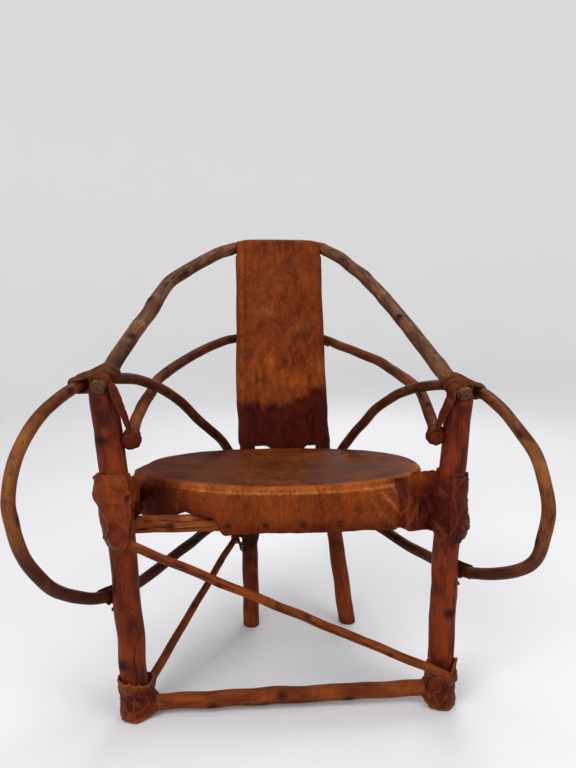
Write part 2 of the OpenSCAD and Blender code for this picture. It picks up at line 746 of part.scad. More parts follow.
module front_post_left() { color(post_wood) centred() cupped_post(LEFT); }
module front_post_right() { color(post_wood) centred() cupped_post(RIGHT); }
module rear_pole_left() { color(pole_wood) centred() pole_stick(LEFT); }
module rear_pole_right() { color(pole_wood) centred() pole_stick(RIGHT); }
module crest_bow() { color(bow_wood) centred() crest_stick(); }
module middle_bow() { color(bow_wood) centred() mid_stick(); }
module arm_hoop_left() { color(hoop_wood) centred() hoop_stick(LEFT); }
module arm_hoop_right() { color(hoop_wood) centred() hoop_stick(RIGHT); }
module front_seat_rail() {
    color(rail_wood) centred() difference() {
        front_rail_stick();
        peg_row(peg_d / 2 + fit / 2, rail_y - rail_r - 2, rail_y + 2);
    }
}
module rear_seat_rail() { color(rail_wood) centred() rear_rail_stick(); }
module seat_rim_hoop() { color(hoop_wood) centred() rim_stick(); }
module seat_stick_1() { color(rail_wood) centred() seat_stick(1); }
module seat_stick_2() { color(rail_wood) centred() seat_stick(2); }
module seat_stick_3() { color(rail_wood) centred() seat_stick(3); }
module seat_stick_4() { color(rail_wood) centred() seat_stick(4); }
module foot_stretcher() { color(rail_wood) centred() stretcher_stick(); }
module long_brace() { color(rail_wood) centred() long_brace_stick(); }
module short_brace() { color(rail_wood) centred() short_brace_stick(); }
module seat_hide() {
    color(hide_brown) centred() difference() {
        hide_shell();
        peg_row(peg_d / 2 + fit / 2, seat_front - 5, seat_front + leather_t + 5);
    }
}
module hide_pegs() { color(thong_brown) centred() peg_row(peg_d / 2, seat_front - 4, rail_y); }
module back_panel() { color(hide_brown) centred() panel_shell(); }
module back_lacing() { color(thong_brown) centred() lacing(); }
module post_cuff_left() { color(hide_dark) centred() post_cuff(LEFT); }
module post_cuff_right() { color(hide_dark) centred() post_cuff(RIGHT); }
module foot_cuff_left() { color(hide_dark) centred() foot_cuff(LEFT); }
module foot_cuff_right() { color(hide_dark) centred() foot_cuff(RIGHT); }
module crest_binding_left() { color(thong_brown) centred() crest_binding(LEFT); }
module crest_binding_right() { color(thong_brown) centred() crest_binding(RIGHT); }
module sling_strap_left() { color(hide_dark) centred() sling_strap(LEFT); }
module sling_strap_right() { color(hide_dark) centred() sling_strap(RIGHT); }
module hoop_tie_left() { color(thong_brown) centred() hoop_tie(LEFT); }
module hoop_tie_right() { color(thong_brown) centred() hoop_tie(RIGHT); }
module hoop_heel_tie_left() { color(thong_brown) centred() heel_tie(LEFT); }
module hoop_heel_tie_right() { color(thong_brown) centred() heel_tie(RIGHT); }
module rear_lashing_left() { color(thong_brown) centred() rear_lashing(LEFT); }
module rear_lashing_right() { color(thong_brown) centred() rear_lashing(RIGHT); }
module bow_tie_left() { color(thong_brown) centred() bow_tie(LEFT); }
module bow_tie_right() { color(thong_brown) centred() bow_tie(RIGHT); }
module brace_tie() { color(thong_brown) centred() brace_knot(); }

front_post_left();
front_post_right();
rear_pole_left();
rear_pole_right();
crest_bow();
middle_bow();
arm_hoop_left();
arm_hoop_right();
front_seat_rail();
rear_seat_rail();
seat_rim_hoop();
seat_stick_1();
seat_stick_2();
seat_stick_3();
seat_stick_4();
foot_stretcher();
long_brace();
short_brace();
seat_hide();
hide_pegs();
back_panel();
back_lacing();
post_cuff_left();
post_cuff_right();
foot_cuff_left();
foot_cuff_right();
crest_binding_left();
crest_binding_right();
sling_strap_left();
sling_strap_right();
hoop_tie_left();
hoop_tie_right();
hoop_heel_tie_left();
hoop_heel_tie_right();
rear_lashing_left();
rear_lashing_right();
bow_tie_left();
bow_tie_right();
brace_tie();
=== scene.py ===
import math
from functools import reduce
import bmesh
import bpy
import numpy as np
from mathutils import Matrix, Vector
from mathutils.geometry import convex_hull_2d


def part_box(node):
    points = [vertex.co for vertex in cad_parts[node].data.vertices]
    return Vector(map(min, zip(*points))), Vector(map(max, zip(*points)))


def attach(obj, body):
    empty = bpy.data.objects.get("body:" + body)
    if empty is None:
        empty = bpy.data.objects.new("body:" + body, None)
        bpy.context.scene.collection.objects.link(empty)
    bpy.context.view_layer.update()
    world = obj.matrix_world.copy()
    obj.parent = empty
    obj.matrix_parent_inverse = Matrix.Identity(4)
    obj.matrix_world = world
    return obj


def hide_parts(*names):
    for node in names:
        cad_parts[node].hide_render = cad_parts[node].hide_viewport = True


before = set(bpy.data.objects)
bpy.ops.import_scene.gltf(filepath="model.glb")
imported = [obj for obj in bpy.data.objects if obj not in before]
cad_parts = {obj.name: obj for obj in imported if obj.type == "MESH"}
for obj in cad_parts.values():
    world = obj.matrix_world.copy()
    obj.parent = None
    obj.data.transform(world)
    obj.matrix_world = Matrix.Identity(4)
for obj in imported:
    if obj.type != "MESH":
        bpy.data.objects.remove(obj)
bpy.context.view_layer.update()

X, Y, UP = np.eye(3)
FRONT = np.array([0.0, -1.0, 0.0])
TURN = 2 * math.pi
SIDES = (("left", -1), ("right", 1))
WELD = 2e-5  # the frame's meshes are welded within this distance, m
SEAT_SKIN, WEB_SKIN, BACK_SKIN, CUFF_SKIN, FOOT_SKIN, CAP_SKIN = (
    0.0026, 0.0022, 0.0016, 0.0020, 0.0018, 0.0014)  # thicknesses of the hides, m
THONG = 0.0026  # thickness of a thong, m
CRACK = 0.0011  # half the width of a crack in a stick, m
UNDER_FLOOR = 0.008  # how far a leg's line goes on under the floor, m
NEAR_FLOOR = 0.0015  # a stick that comes this low is cut off flat, m
FLOOR_CUT = 0.0002  # the height of that cut, m


# ---------------------------------------------------------------- reading the frame
def node_bmesh(node):
    bm = bmesh.new()
    bm.from_mesh(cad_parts[node].data)
    bmesh.ops.remove_doubles(bm, verts=bm.verts, dist=WELD)
    return bm


def caps(node, least=10):
    """The flat many-sided ends of a stick: (centre, radius, corner points), from the lowest up."""
    bm = node_bmesh(node)
    bmesh.ops.dissolve_limit(bm, angle_limit=math.radians(0.4), verts=bm.verts, edges=bm.edges)
    found = []
    for f in bm.faces:
        if len(f.verts) >= least:
            p = np.array([v.co[:] for v in f.verts])
            c = p.mean(0)
            off = np.linalg.norm(p - c, axis=1)
            if off.std() < 0.05 * off.mean():
                found.append((c, float(off.mean()), p))
    bm.free()
    return sorted(found, key=lambda e: (round(e[0][2], 3), e[0][0]))


def rings(node, sides):
    """A bent stick's centre points and radii, ring by ring from its lowest or leftmost end."""
    cap = caps(node)[0][2]
    bm = node_bmesh(node)
    layer = [v for v in bm.verts if np.abs(cap - np.array(v.co[:])).sum(1).min() < 2 * WELD]
    seen, line = set(), []
    while layer:
        p = np.array([v.co[:] for v in layer])
        if len(layer) == sides or not line:
            c = p.mean(0)
            line.append([*c, float(np.linalg.norm(p - c, axis=1).mean())])
        seen.update(layer)
        layer = list({e.other_vert(v) for v in layer for e in v.link_edges} - seen)
    bm.free()
    return np.array(line)


def straight(node):
    """A straight bar's two ends: centre and radius."""
    ends = caps(node, 20)
    a, b = ends[0], max(ends, key=lambda e: np.linalg.norm(e[0] - ends[0][0]))
    if a[0][0] > b[0][0]:
        a, b = b, a
    return np.array([[*a[0], a[1]], [*b[0], b[1]]])


def box(node):
    lo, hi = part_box(node)
    return np.array(lo[:]), np.array(hi[:])


def middle_of(node):
    lo, hi = box(node)
    return (lo + hi) / 2


# ---------------------------------------------------------------- plain helpers
def ripple(p, size, seed, terms=14):
    """A smooth, seeded unevenness of about -1 to 1, with lumps of the given size in metres."""
    p = np.asarray(p, float)
    rng = np.random.default_rng(seed)
    k = rng.normal(size=(terms, p.shape[-1]))
    k /= np.linalg.norm(k, axis=1, keepdims=True)
    k *= TURN / size * rng.uniform(0.6, 1.5, (terms, 1))
    phase = rng.uniform(0, TURN, terms)
    return np.sin(p @ k.T + phase).sum(-1) * 0.8 / math.sqrt(terms)


def cloudy(p, size, seed):
    """The same unevenness, from about 0 to 1."""
    return 0.5 + 0.5 * ripple(p, size, seed)


def crease(p, size, seed):
    """Narrow ridges with broad hollows between them, from 0 to 1."""
    return np.clip(1 - np.abs(ripple(p, size, seed)) * 2.2, 0, 1) ** 1.6


def unit(v):
    v = np.asarray(v, float)
    return v / np.maximum(np.linalg.norm(v, axis=-1, keepdims=True), 1e-12)


def lengths(p):
    """The distance along a line at each of its points."""
    return np.r_[0, np.cumsum(np.linalg.norm(np.diff(p, axis=0), axis=1))]


def circle(a):
    return np.stack([np.cos(a), np.sin(a)], -1)


def slope(v, a, b):
    """0 before a, 1 after b and a straight rise between them."""
    return np.clip((np.asarray(v, float) - a) / (b - a), 0, 1)


def step(v, a, b):
    """The same with a soft start and end."""
    t = slope(v, a, b)
    return t * t * (3 - 2 * t)


def bump(v, at, wide):
    """1 at a value, falling away on both sides."""
    return np.exp(-(((np.asarray(v, float) - at) / wide) ** 2))


def spot_at(x, y, at, wide):
    """1 at a place, falling away round it."""
    return np.exp(-(((x - at[0]) / wide[0]) ** 2 + ((y - at[1]) / wide[1]) ** 2))


def most(*values):
    """The largest of several values, point by point."""
    return reduce(np.maximum, values)


def spline(points, gap, closed=False):
    """A smooth line through points, evenly spaced: (distance along, points)."""
    p = np.asarray(points, float)
    ends = (p[-1:], p[:2]) if closed else (2 * p[:1] - p[1:2], 2 * p[-1:] - p[-2:-1])
    p = np.vstack([ends[0], p, ends[1]])
    t = np.linspace(0, 1, 16, endpoint=False)[:, None]
    dense = [
        0.5 * (2 * b + (c - a) * t + (2 * a - 5 * b + 4 * c - d) * t**2
               + (3 * b - a - 3 * c + d) * t**3)
        for a, b, c, d in zip(p, p[1:], p[2:], p[3:])
    ]
    dense = np.vstack(dense + ([] if closed else [p[-2:-1]]))
    if closed:
        dense = np.vstack([dense, dense[:1]])
    run = lengths(dense[:, :3])
    n = max(3, int(round(run[-1] / gap)))
    s = np.linspace(0, run[-1], n + 1)
    if closed:
        s = s[:-1]
    return s, np.stack([np.interp(s, run, dense[:, k]) for k in range(p.shape[1])], 1)


def carried(path, first, closed=False):
    """Tangents, and a side direction that is carried along the line without twist."""
    if closed:
        t = unit(np.roll(path, -1, 0) - np.roll(path, 1, 0))
    else:
        t = unit(np.gradient(path, axis=0))
    u, sides = np.asarray(first, float), []
    for d in t:
        u = unit(u - d * (u @ d))
        sides.append(u)
    return t, np.array(sides)


def grid_faces(rows, cols, wrap=True):
    return [
        (a + k, a + (k + 1) % cols, a + cols + (k + 1) % cols, a + cols + k)
        for a in range(0, (rows - 1) * cols, cols)
        for k in range(cols if wrap else cols - 1)
    ]


def attribute(mesh, name, kind, key, values):
    """Puts values on a mesh's points, for its material to read."""
    values = np.asarray(values, np.float32).ravel()
    mesh.attributes.new(name, kind, "POINT").data.foreach_set(key, values)


soups = {}  # each piece's points and four-sided faces, for what is wound round it


def piece(name, points, faces, slot, nodes, mask, own):
    """A mesh piece with its masks (dark, pale, raw edge) and its own straightened coordinates."""
    points = np.asarray(points, float)
    mesh = bpy.data.meshes.new(name)
    mesh.from_pydata(points.tolist(), [], faces)
    mesh.validate()
    mesh.shade_smooth()
    masks = np.clip(np.c_[mask, np.ones(len(points))], 0, 1)
    attribute(mesh, "mask", "FLOAT_COLOR", "color", masks)
    attribute(mesh, "own", "FLOAT_VECTOR", "vector", own)
    o = bpy.data.objects.new(name, mesh)
    bpy.context.scene.collection.objects.link(o)
    mesh.materials.append(materials[slot])
    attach(o, "root")
    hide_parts(*nodes)
    soups[name] = (points, np.array([f for f in faces if len(f) == 4], int).reshape(-1, 4))
    return o


def thicken(o, thick):
    m = o.modifiers.new("thickness", "SOLIDIFY")
    m.thickness, m.offset, m.use_even_offset = thick, -1.0, False


def faces_out(o, centre):
    """Turns a skin's faces so that they look away from its middle."""
    if sum((np.array(f.center[:]) - centre) @ np.array(f.normal[:]) for f in o.data.polygons) < 0:
        o.data.flip_normals()


# ---------------------------------------------------------------- sticks
def stick(
    name, line, slot, nodes, sides=36, gap=0.004, seed=1, uneven=0.03, wander=0.0007, knots=(),
    cracks=(), bands=(), closed=False, ends=(0.0016, 0.0016), swell=(), flute=0.0, end_dark=0.0,
    stain=None,
):
    """A round stick swept along a line of [x, y, z, radius].

    knots are (share along, angle, height, width), cracks (from, to, angle, turn, depth),
    bands (share, width, strength) paint a worn ring and swell are (share, width, height)."""
    s, p = spline(line, gap, closed)
    path, radius = p[:, :3].copy(), p[:, 3]
    run, n = s[-1], len(s)
    share = s / run
    quiet = np.ones_like(s) if closed else step(s, 0.0, 0.03) * step(run - s, 0.0, 0.03)
    for k in range(3):
        path[:, k] += wander * quiet * ripple(s[:, None], 0.09, seed * 7 + k)
    t, u = carried(path, UP if closed else FRONT, closed)
    v = np.cross(t, u)
    a = np.linspace(0, TURN, sides, endpoint=False)
    around = circle(a)
    S, A = np.meshgrid(s, a, indexing="ij")
    grain_start = 3.7 * seed  # so that no two sticks show the same grain
    unit_points = np.stack([np.cos(A) * 0.02, np.sin(A) * 0.02, S + grain_start], -1)
    r = radius[:, None] * (
        1
        + uneven * ripple(unit_points * [1, 1, 0.55], 0.045, seed)
        + 0.35 * uneven * ripple(unit_points * [2.2, 2.2, 0.5], 0.02, seed + 50)
        + 0.6 * uneven * np.cos(2 * A + 6 * ripple(S[..., None], 0.3, seed + 3))
    )
    if flute:
        r = r - flute * crease(unit_points * [3.5, 3.5, 0.22], 0.022, seed + 9)
    dark, pale, end = np.zeros_like(r), np.zeros_like(r), np.zeros_like(r)
    for where, angle, height, width in knots:
        lump = bump(S, where * run, width) * np.exp((np.cos(A - angle) - 1) * 3.2)
        r = r + height * lump
        core = bump(S, where * run, width * 0.5) * np.exp((np.cos(A - angle) - 1) * 12)
        r = r - 0.4 * height * core
        dark = np.maximum(dark, 0.75 * core + 0.2 * lump)
        pale = np.maximum(pale, 0.35 * lump - core)
    for start, stop, angle, turn, depth in cracks:
        along = step(share, start, start + 0.02) * step(-share, -stop, -stop + 0.02)
        centre = angle + turn * (share - start) + 0.12 * ripple(s[:, None], 0.05, seed + 5)
        gapes = along * (0.65 + 0.35 * ripple(s[:, None], 0.03, seed + 6))
        away = (A - centre[:, None] + math.pi) % TURN - math.pi
        cut = gapes[:, None] * np.exp(-((away * radius[:, None] / CRACK) ** 2))
        r = r - depth * np.clip(cut, 0, 1)
        dark = np.maximum(dark, cut)
    for where, width, strength in bands:
        ringed = bump(S, where * run, width) * (0.75 + 0.5 * ripple(unit_points, 0.02, seed + 8))
        pale = np.maximum(pale, strength * ringed)
    for where, width, height in swell:
        r = r + height * bump(S, where * run, width)
    if stain is not None:
        dark = np.maximum(dark, stain(S / run))
    if not closed:
        for at, chamfer in ((s, ends[0]), (run - s, ends[1])):
            edge = 1 - np.clip(at / max(chamfer, 1e-6), 0, 1)
            r = r - (chamfer * edge * edge)[:, None]
    points = path[:, None] + r[..., None] * (
        around[None, :, :1] * u[:, None] + around[None, :, 1:] * v[:, None]
    )
    own = np.stack([np.cos(A) * r, np.sin(A) * r, S + grain_start], -1).reshape(-1, 3)
    faces = grid_faces(n, sides)
    points = points.reshape(-1, 3)
    mask = np.stack([dark, pale, end], -1).reshape(-1, 3)
    if closed:
        last = (n - 1) * sides
        faces += [(last + k, last + (k + 1) % sides, (k + 1) % sides, k) for k in range(sides)]
    else:
        for first, row, out in ((True, 0, -1), (False, n - 1, 1)):
            before = np.arange(row * sides, row * sides + sides)
            centre, axis = path[row], t[row] * out
            rim_points, rim_own = points[before].copy(), own[before].copy()
            for level, shrink in enumerate((0.8, 0.55, 0.28, 0.03)):
                rough = 0.0004 * ripple(rim_points + level, 0.006, seed + 4)
                new = centre + (rim_points - centre) * shrink
                new = new + axis * ((1 - shrink) * 0.0012 + rough)[:, None]
                new_own = rim_own * [shrink, shrink, 1] + [0, 0, out * 0.002]
                now = np.arange(len(points), len(points) + sides)
                points, own = np.vstack([points, new]), np.vstack([own, new_own])
                mask = np.vstack([mask, np.tile([end_dark, 0.0, 1.0 - end_dark], (sides, 1))])
                for k in range(sides):
                    j = (k + 1) % sides
                    quad = (before[k], now[k], now[j], before[j])
                    faces.append(quad[::-1] if first else quad)
                before = now
            faces.append(tuple(before if first else before[::-1]))
    faces = [tuple(int(x) for x in f) for f in faces]
    # the sides run so that their outside faces out
    a0, b0, c0 = (points[i] for i in faces[sides * (n // 2)][:3])
    if np.cross(b0 - a0, c0 - a0) @ (a0 - path[n // 2]) < 0:
        faces = [f[::-1] for f in faces]
    o = piece(name, points, faces, slot, nodes, mask, own)
    if points[:, 2].min() < NEAR_FLOOR:
        cut_at_floor(o)
    return o


def cut_at_floor(o):
    """Cuts a leg's end flat where it stands on the floor."""
    bm = bmesh.new()
    bm.from_mesh(o.data)
    found = bmesh.ops.bisect_plane(
        bm, geom=bm.verts[:] + bm.edges[:] + bm.faces[:], plane_co=(0, 0, FLOOR_CUT),
        plane_no=(0, 0, 1), clear_inner=True,
    )
    rim = [e for e in found["geom_cut"] if isinstance(e, bmesh.types.BMEdge)]
    for f in bmesh.ops.edgenet_fill(bm, edges=rim)["faces"]:
        f.smooth = True
    bmesh.ops.recalc_face_normals(bm, faces=bm.faces[:])
    bm.to_mesh(o.data)
    bm.free()


# ---------------------------------------------------------------- wound thongs
def slice_at(names, p, n, reach):
    """Where the named pieces' faces cut the plane through p across n, within reach of p."""
    found = []
    for name in names:
        v, f = soups[name]
        d = (v - p) @ n
        for i, j in ((0, 1), (1, 2), (2, 3), (3, 0)):
            a, b = f[:, i], f[:, j]
            hit = d[a] * d[b] < 0
            a, b = a[hit], b[hit]
            w = (d[a] / (d[a] - d[b]))[:, None]
            found.append(v[a] + (v[b] - v[a]) * w)
    found = np.vstack(found)
    return found[np.linalg.norm(found - p, axis=1) < reach]


def loop_round(points, p, e1, e2, count):
    """The stretched outline of points in the plane of e1 and e2, at even angles about p."""
    flat = np.stack([(points - p) @ e1, (points - p) @ e2], 1)
    hull = flat[convex_hull_2d([Vector(q) for q in flat])]
    way = circle(np.linspace(0, TURN, count, endpoint=False))
    nxt = np.roll(hull, -1, 0)
    normal = np.stack([nxt[:, 1] - hull[:, 1], hull[:, 0] - nxt[:, 0]], 1)
    long = np.linalg.norm(normal, axis=1) > 1e-7
    normal, hull = unit(normal[long]), hull[long]
    lift = (normal * hull).sum(1)
    if lift.mean() < 0:
        normal, lift = -normal, -lift
    facing = way @ normal.T
    reach = np.where(facing > 1e-4, lift[None] / np.maximum(facing, 1e-4), 1e3).min(1)
    return way * reach[:, None]


def ribbon(
    name, path, width, thick, face, slot, nodes, seed=1, ragged=0.0, cup=0.0, edge=0.0,
    dark=0.0, wrinkle=0.0004, ease=0.0, across=12, pale=0.0,
):
    """A strip of leather along a line: face is its outward side, width and thick may vary."""
    path, face = np.asarray(path, float), np.asarray(face, float)
    n = len(path)
    width, thick = (np.broadcast_to(np.asarray(w, float), n) for w in (width, thick))
    t = unit(np.gradient(path, axis=0))
    face = unit(face - t * (face * t).sum(1, keepdims=True))
    side = np.cross(t, face)
    run = lengths(path)
    if ease:
        tip = np.clip(np.minimum(run, run[-1] - run) / ease, 0.12, 1) ** 0.5
        width, thick = width * tip, thick * tip
    a = np.linspace(0, TURN, 2 * across, endpoint=False)
    c = np.sign(np.cos(a)) * np.abs(np.cos(a)) ** 0.55
    h = np.sign(np.sin(a)) * np.abs(np.sin(a)) ** 0.8
    R, C = np.meshgrid(run, c, indexing="ij")
    H = np.broadcast_to(h, R.shape)
    spot = np.stack([C * 0.004, R, np.full_like(R, seed * 1.3)], -1)
    w = width[:, None] / 2 * (1 + 0.08 * ripple(spot, 0.02, seed))
    w = w + ragged * np.abs(C) ** 3 * ripple(spot * [9, 1, 1], 0.006, seed + 1)
    rise = H * thick[:, None] / 2 - cup * C**2
    rise = rise + wrinkle * ripple(spot * [1.2, 1, 1], 0.009, seed + 2) * (H > -0.2)
    points = (
        path[:, None] + side[:, None] * (C * w)[..., None] + face[:, None] * rise[..., None]
    )
    cols = 2 * across
    faces = grid_faces(n, cols)
    faces.append(tuple(range(cols)))
    faces.append(tuple(range((n - 1) * cols, n * cols))[::-1])
    points = points.reshape(-1, 3)
    a0, b0, c0 = (points[i] for i in faces[cols * (n // 2) + across // 2][:3])
    if np.cross(b0 - a0, c0 - a0) @ (a0 - path[n // 2]) < 0:
        faces = [f[::-1] for f in faces]
    edges = edge * np.clip((np.abs(C) - 0.86) * 8, 0, 1)
    mask = np.stack([np.full_like(R, dark), np.full_like(R, pale), edges], -1).reshape(-1, 3)
    own = np.stack([C * w, R + seed, H * 0.002], -1).reshape(-1, 3)
    return piece(name, points, faces, slot, nodes, mask, own)


def wound(
    name, round_these, p, axis, turns, pitch, wide, thick, nodes, slot="thong", reach=0.06,
    seed=1, count=56, tilt=0.0, sink=0.0003, dark=0.0, pale=0.0, edge=0.25,
):
    """A thong wound round whatever the named sticks show in planes across axis."""
    axis = unit(axis)
    e1 = unit(np.cross(axis, [0.31, 0.53, 0.79]))
    e2 = np.cross(axis, e1)
    loops = []
    for k in range(turns + 1):
        q = p + axis * (k - turns / 2) * pitch
        cut = slice_at(round_these, q, axis, reach)
        if len(cut) < 6:
            loops.append((q, loops[-1][1]) if loops else None)
            continue
        middle = cut.mean(0)
        middle = middle - axis * ((middle - q) @ axis)
        loops.append((middle, loop_round(cut, middle, e1, e2, count)))
    loops = [x if x is not None else next(y for y in loops if y is not None) for x in loops]
    jitter = np.random.default_rng(seed).uniform(-1, 1, (turns + 2, 3))
    path, face = [], []
    for i in range(turns * count + 1):
        k = min(i // count, turns - 1)
        f = (i - k * count) / count
        (m0, l0), (m1, l1) = loops[k], loops[k + 1]
        j = i % count
        flat = l0[j] * (1 - f) + l1[j] * f
        nxt = l0[(j + 1) % count] * (1 - f) + l1[(j + 1) % count] * f
        prv = l0[j - 1] * (1 - f) + l1[j - 1] * f
        out = np.array([nxt[1] - prv[1], prv[0] - nxt[0]])
        out = out / max(np.linalg.norm(out), 1e-9)
        out = out * (1 if out @ flat > 0 else -1)
        wob = jitter[k] * (1 - f) + jitter[k + 1] * f
        lift = thick / 2 - sink + 0.0005 * abs(wob[0])
        flat = flat + out * lift
        centre = m0 * (1 - f) + m1 * f
        lean = tilt * math.sin(TURN * j / count + 1.0) + 0.0007 * wob[1]
        path.append(centre + e1 * flat[0] + e2 * flat[1] + axis * lean)
        face.append(e1 * out[0] + e2 * out[1])
    return ribbon(
        name, path, wide, thick, face, slot, nodes, seed, dark=dark, edge=edge, pale=pale,
        wrinkle=0.0003, ease=0.012, across=6,
    )


# ---------------------------------------------------------------- materials
class Graph:
    def __init__(self, name):
        self.material = bpy.data.materials.new(name)
        self.material.use_nodes = True
        self.tree = self.material.node_tree
        self.tree.nodes.clear()
        self.out = self.tree.nodes.new("ShaderNodeOutputMaterial")
        self.shader = self.tree.nodes.new("ShaderNodeBsdfPrincipled")
        self.link(self.shader.outputs[0], self.out.inputs[0])

    def link(self, a, b):
        self.tree.links.new(a, b)

    def set(self, socket, value):
        if hasattr(value, "is_output"):
            self.link(value, socket)
        else:
            socket.default_value = value

    def attribute(self, name, output="Vector"):
        n = self.tree.nodes.new("ShaderNodeAttribute")
        n.attribute_name = name
        return n.outputs[output]

    def scaled(self, vector, scale):
        n = self.tree.nodes.new("ShaderNodeMapping")
        self.link(vector, n.inputs["Vector"])
        n.inputs["Scale"].default_value = scale
        return n.outputs[0]

    def noise(self, vector, scale, detail=5.0, rough=0.55, twist=0.0):
        n = self.tree.nodes.new("ShaderNodeTexNoise")
        self.link(vector, n.inputs["Vector"])
        for key, value in (
            ("Scale", scale), ("Detail", detail), ("Roughness", rough), ("Distortion", twist),
        ):
            n.inputs[key].default_value = value
        return n.outputs[0]

    def cells(self, vector, scale, feature="DISTANCE_TO_EDGE", random=1.0):
        n = self.tree.nodes.new("ShaderNodeTexVoronoi")
        n.feature = feature
        self.link(vector, n.inputs["Vector"])
        n.inputs["Scale"].default_value = scale
        n.inputs["Randomness"].default_value = random
        return n.outputs["Distance"]

    def ramp(self, value, *stops):
        n = self.tree.nodes.new("ShaderNodeValToRGB")
        self.link(value, n.inputs[0])
        while len(n.color_ramp.elements) < len(stops):
            n.color_ramp.elements.new(0.5)
        for e, (at, colour) in zip(n.color_ramp.elements, stops):
            e.position = at
            e.color = (*colour, 1) if hasattr(colour, "__len__") else (colour, colour, colour, 1)
        return n.outputs[0]

    def span(self, value, a, b, lo=0.0, hi=1.0):
        n = self.tree.nodes.new("ShaderNodeMapRange")
        self.link(value, n.inputs[0])
        for i, x in enumerate((a, b, lo, hi)):
            n.inputs[i + 1].default_value = x
        return n.outputs[0]

    def math(self, op, a, b=None, clamp=False):
        n = self.tree.nodes.new("ShaderNodeMath")
        n.operation, n.use_clamp = op, clamp
        self.set(n.inputs[0], a)
        if b is not None:
            self.set(n.inputs[1], b)
        return n.outputs[0]

    def times(self, a, b, clamp=False):
        return self.math("MULTIPLY", a, b, clamp)

    def plus(self, a, b, clamp=False):
        return self.math("ADD", a, b, clamp)

    def mix(self, share, a, b, blend="MIX"):
        n = self.tree.nodes.new("ShaderNodeMix")
        n.data_type, n.blend_type = "RGBA", blend
        self.set(n.inputs[0], share)
        for socket, value in ((n.inputs[6], a), (n.inputs[7], b)):
            self.set(socket, (*value, 1) if isinstance(value, tuple) else value)
        return n.outputs[2]

    def parts(self, colour):
        n = self.tree.nodes.new("ShaderNodeSeparateColor")
        self.link(colour, n.inputs[0])
        return n.outputs[0], n.outputs[1], n.outputs[2]

    def finish(self, colour, rough, heights):
        """heights are (value, strength, distance in metres), from coarse to fine."""
        self.set(self.shader.inputs["Base Color"], colour)
        self.set(self.shader.inputs["Roughness"], rough)
        normal = None
        for height, strength, distance in heights:
            n = self.tree.nodes.new("ShaderNodeBump")
            n.inputs["Strength"].default_value = strength
            n.inputs["Distance"].default_value = distance
            self.link(height, n.inputs["Height"])
            if normal is not None:
                self.link(normal, n.inputs["Normal"])
            normal = n.outputs[0]
        self.link(normal, self.shader.inputs["Normal"])
        return self.material


def srgb(*rgb):
    """A colour as a viewer names it, 0 to 255, for the renderer."""
    return tuple(
        c / 12.92 if c <= 0.04045 else ((c + 0.055) / 1.055) ** 2.4
        for c in (x / 255 for x in rgb)
    )


BLACKENED, MAROON, SMUDGE = srgb(40, 11, 5), srgb(64, 10, 5), srgb(30, 4, 2)
OLIVE = (0.0, srgb(54, 24, 8)), (0.45, srgb(80, 39, 14)), (1.0, srgb(102, 56, 22))


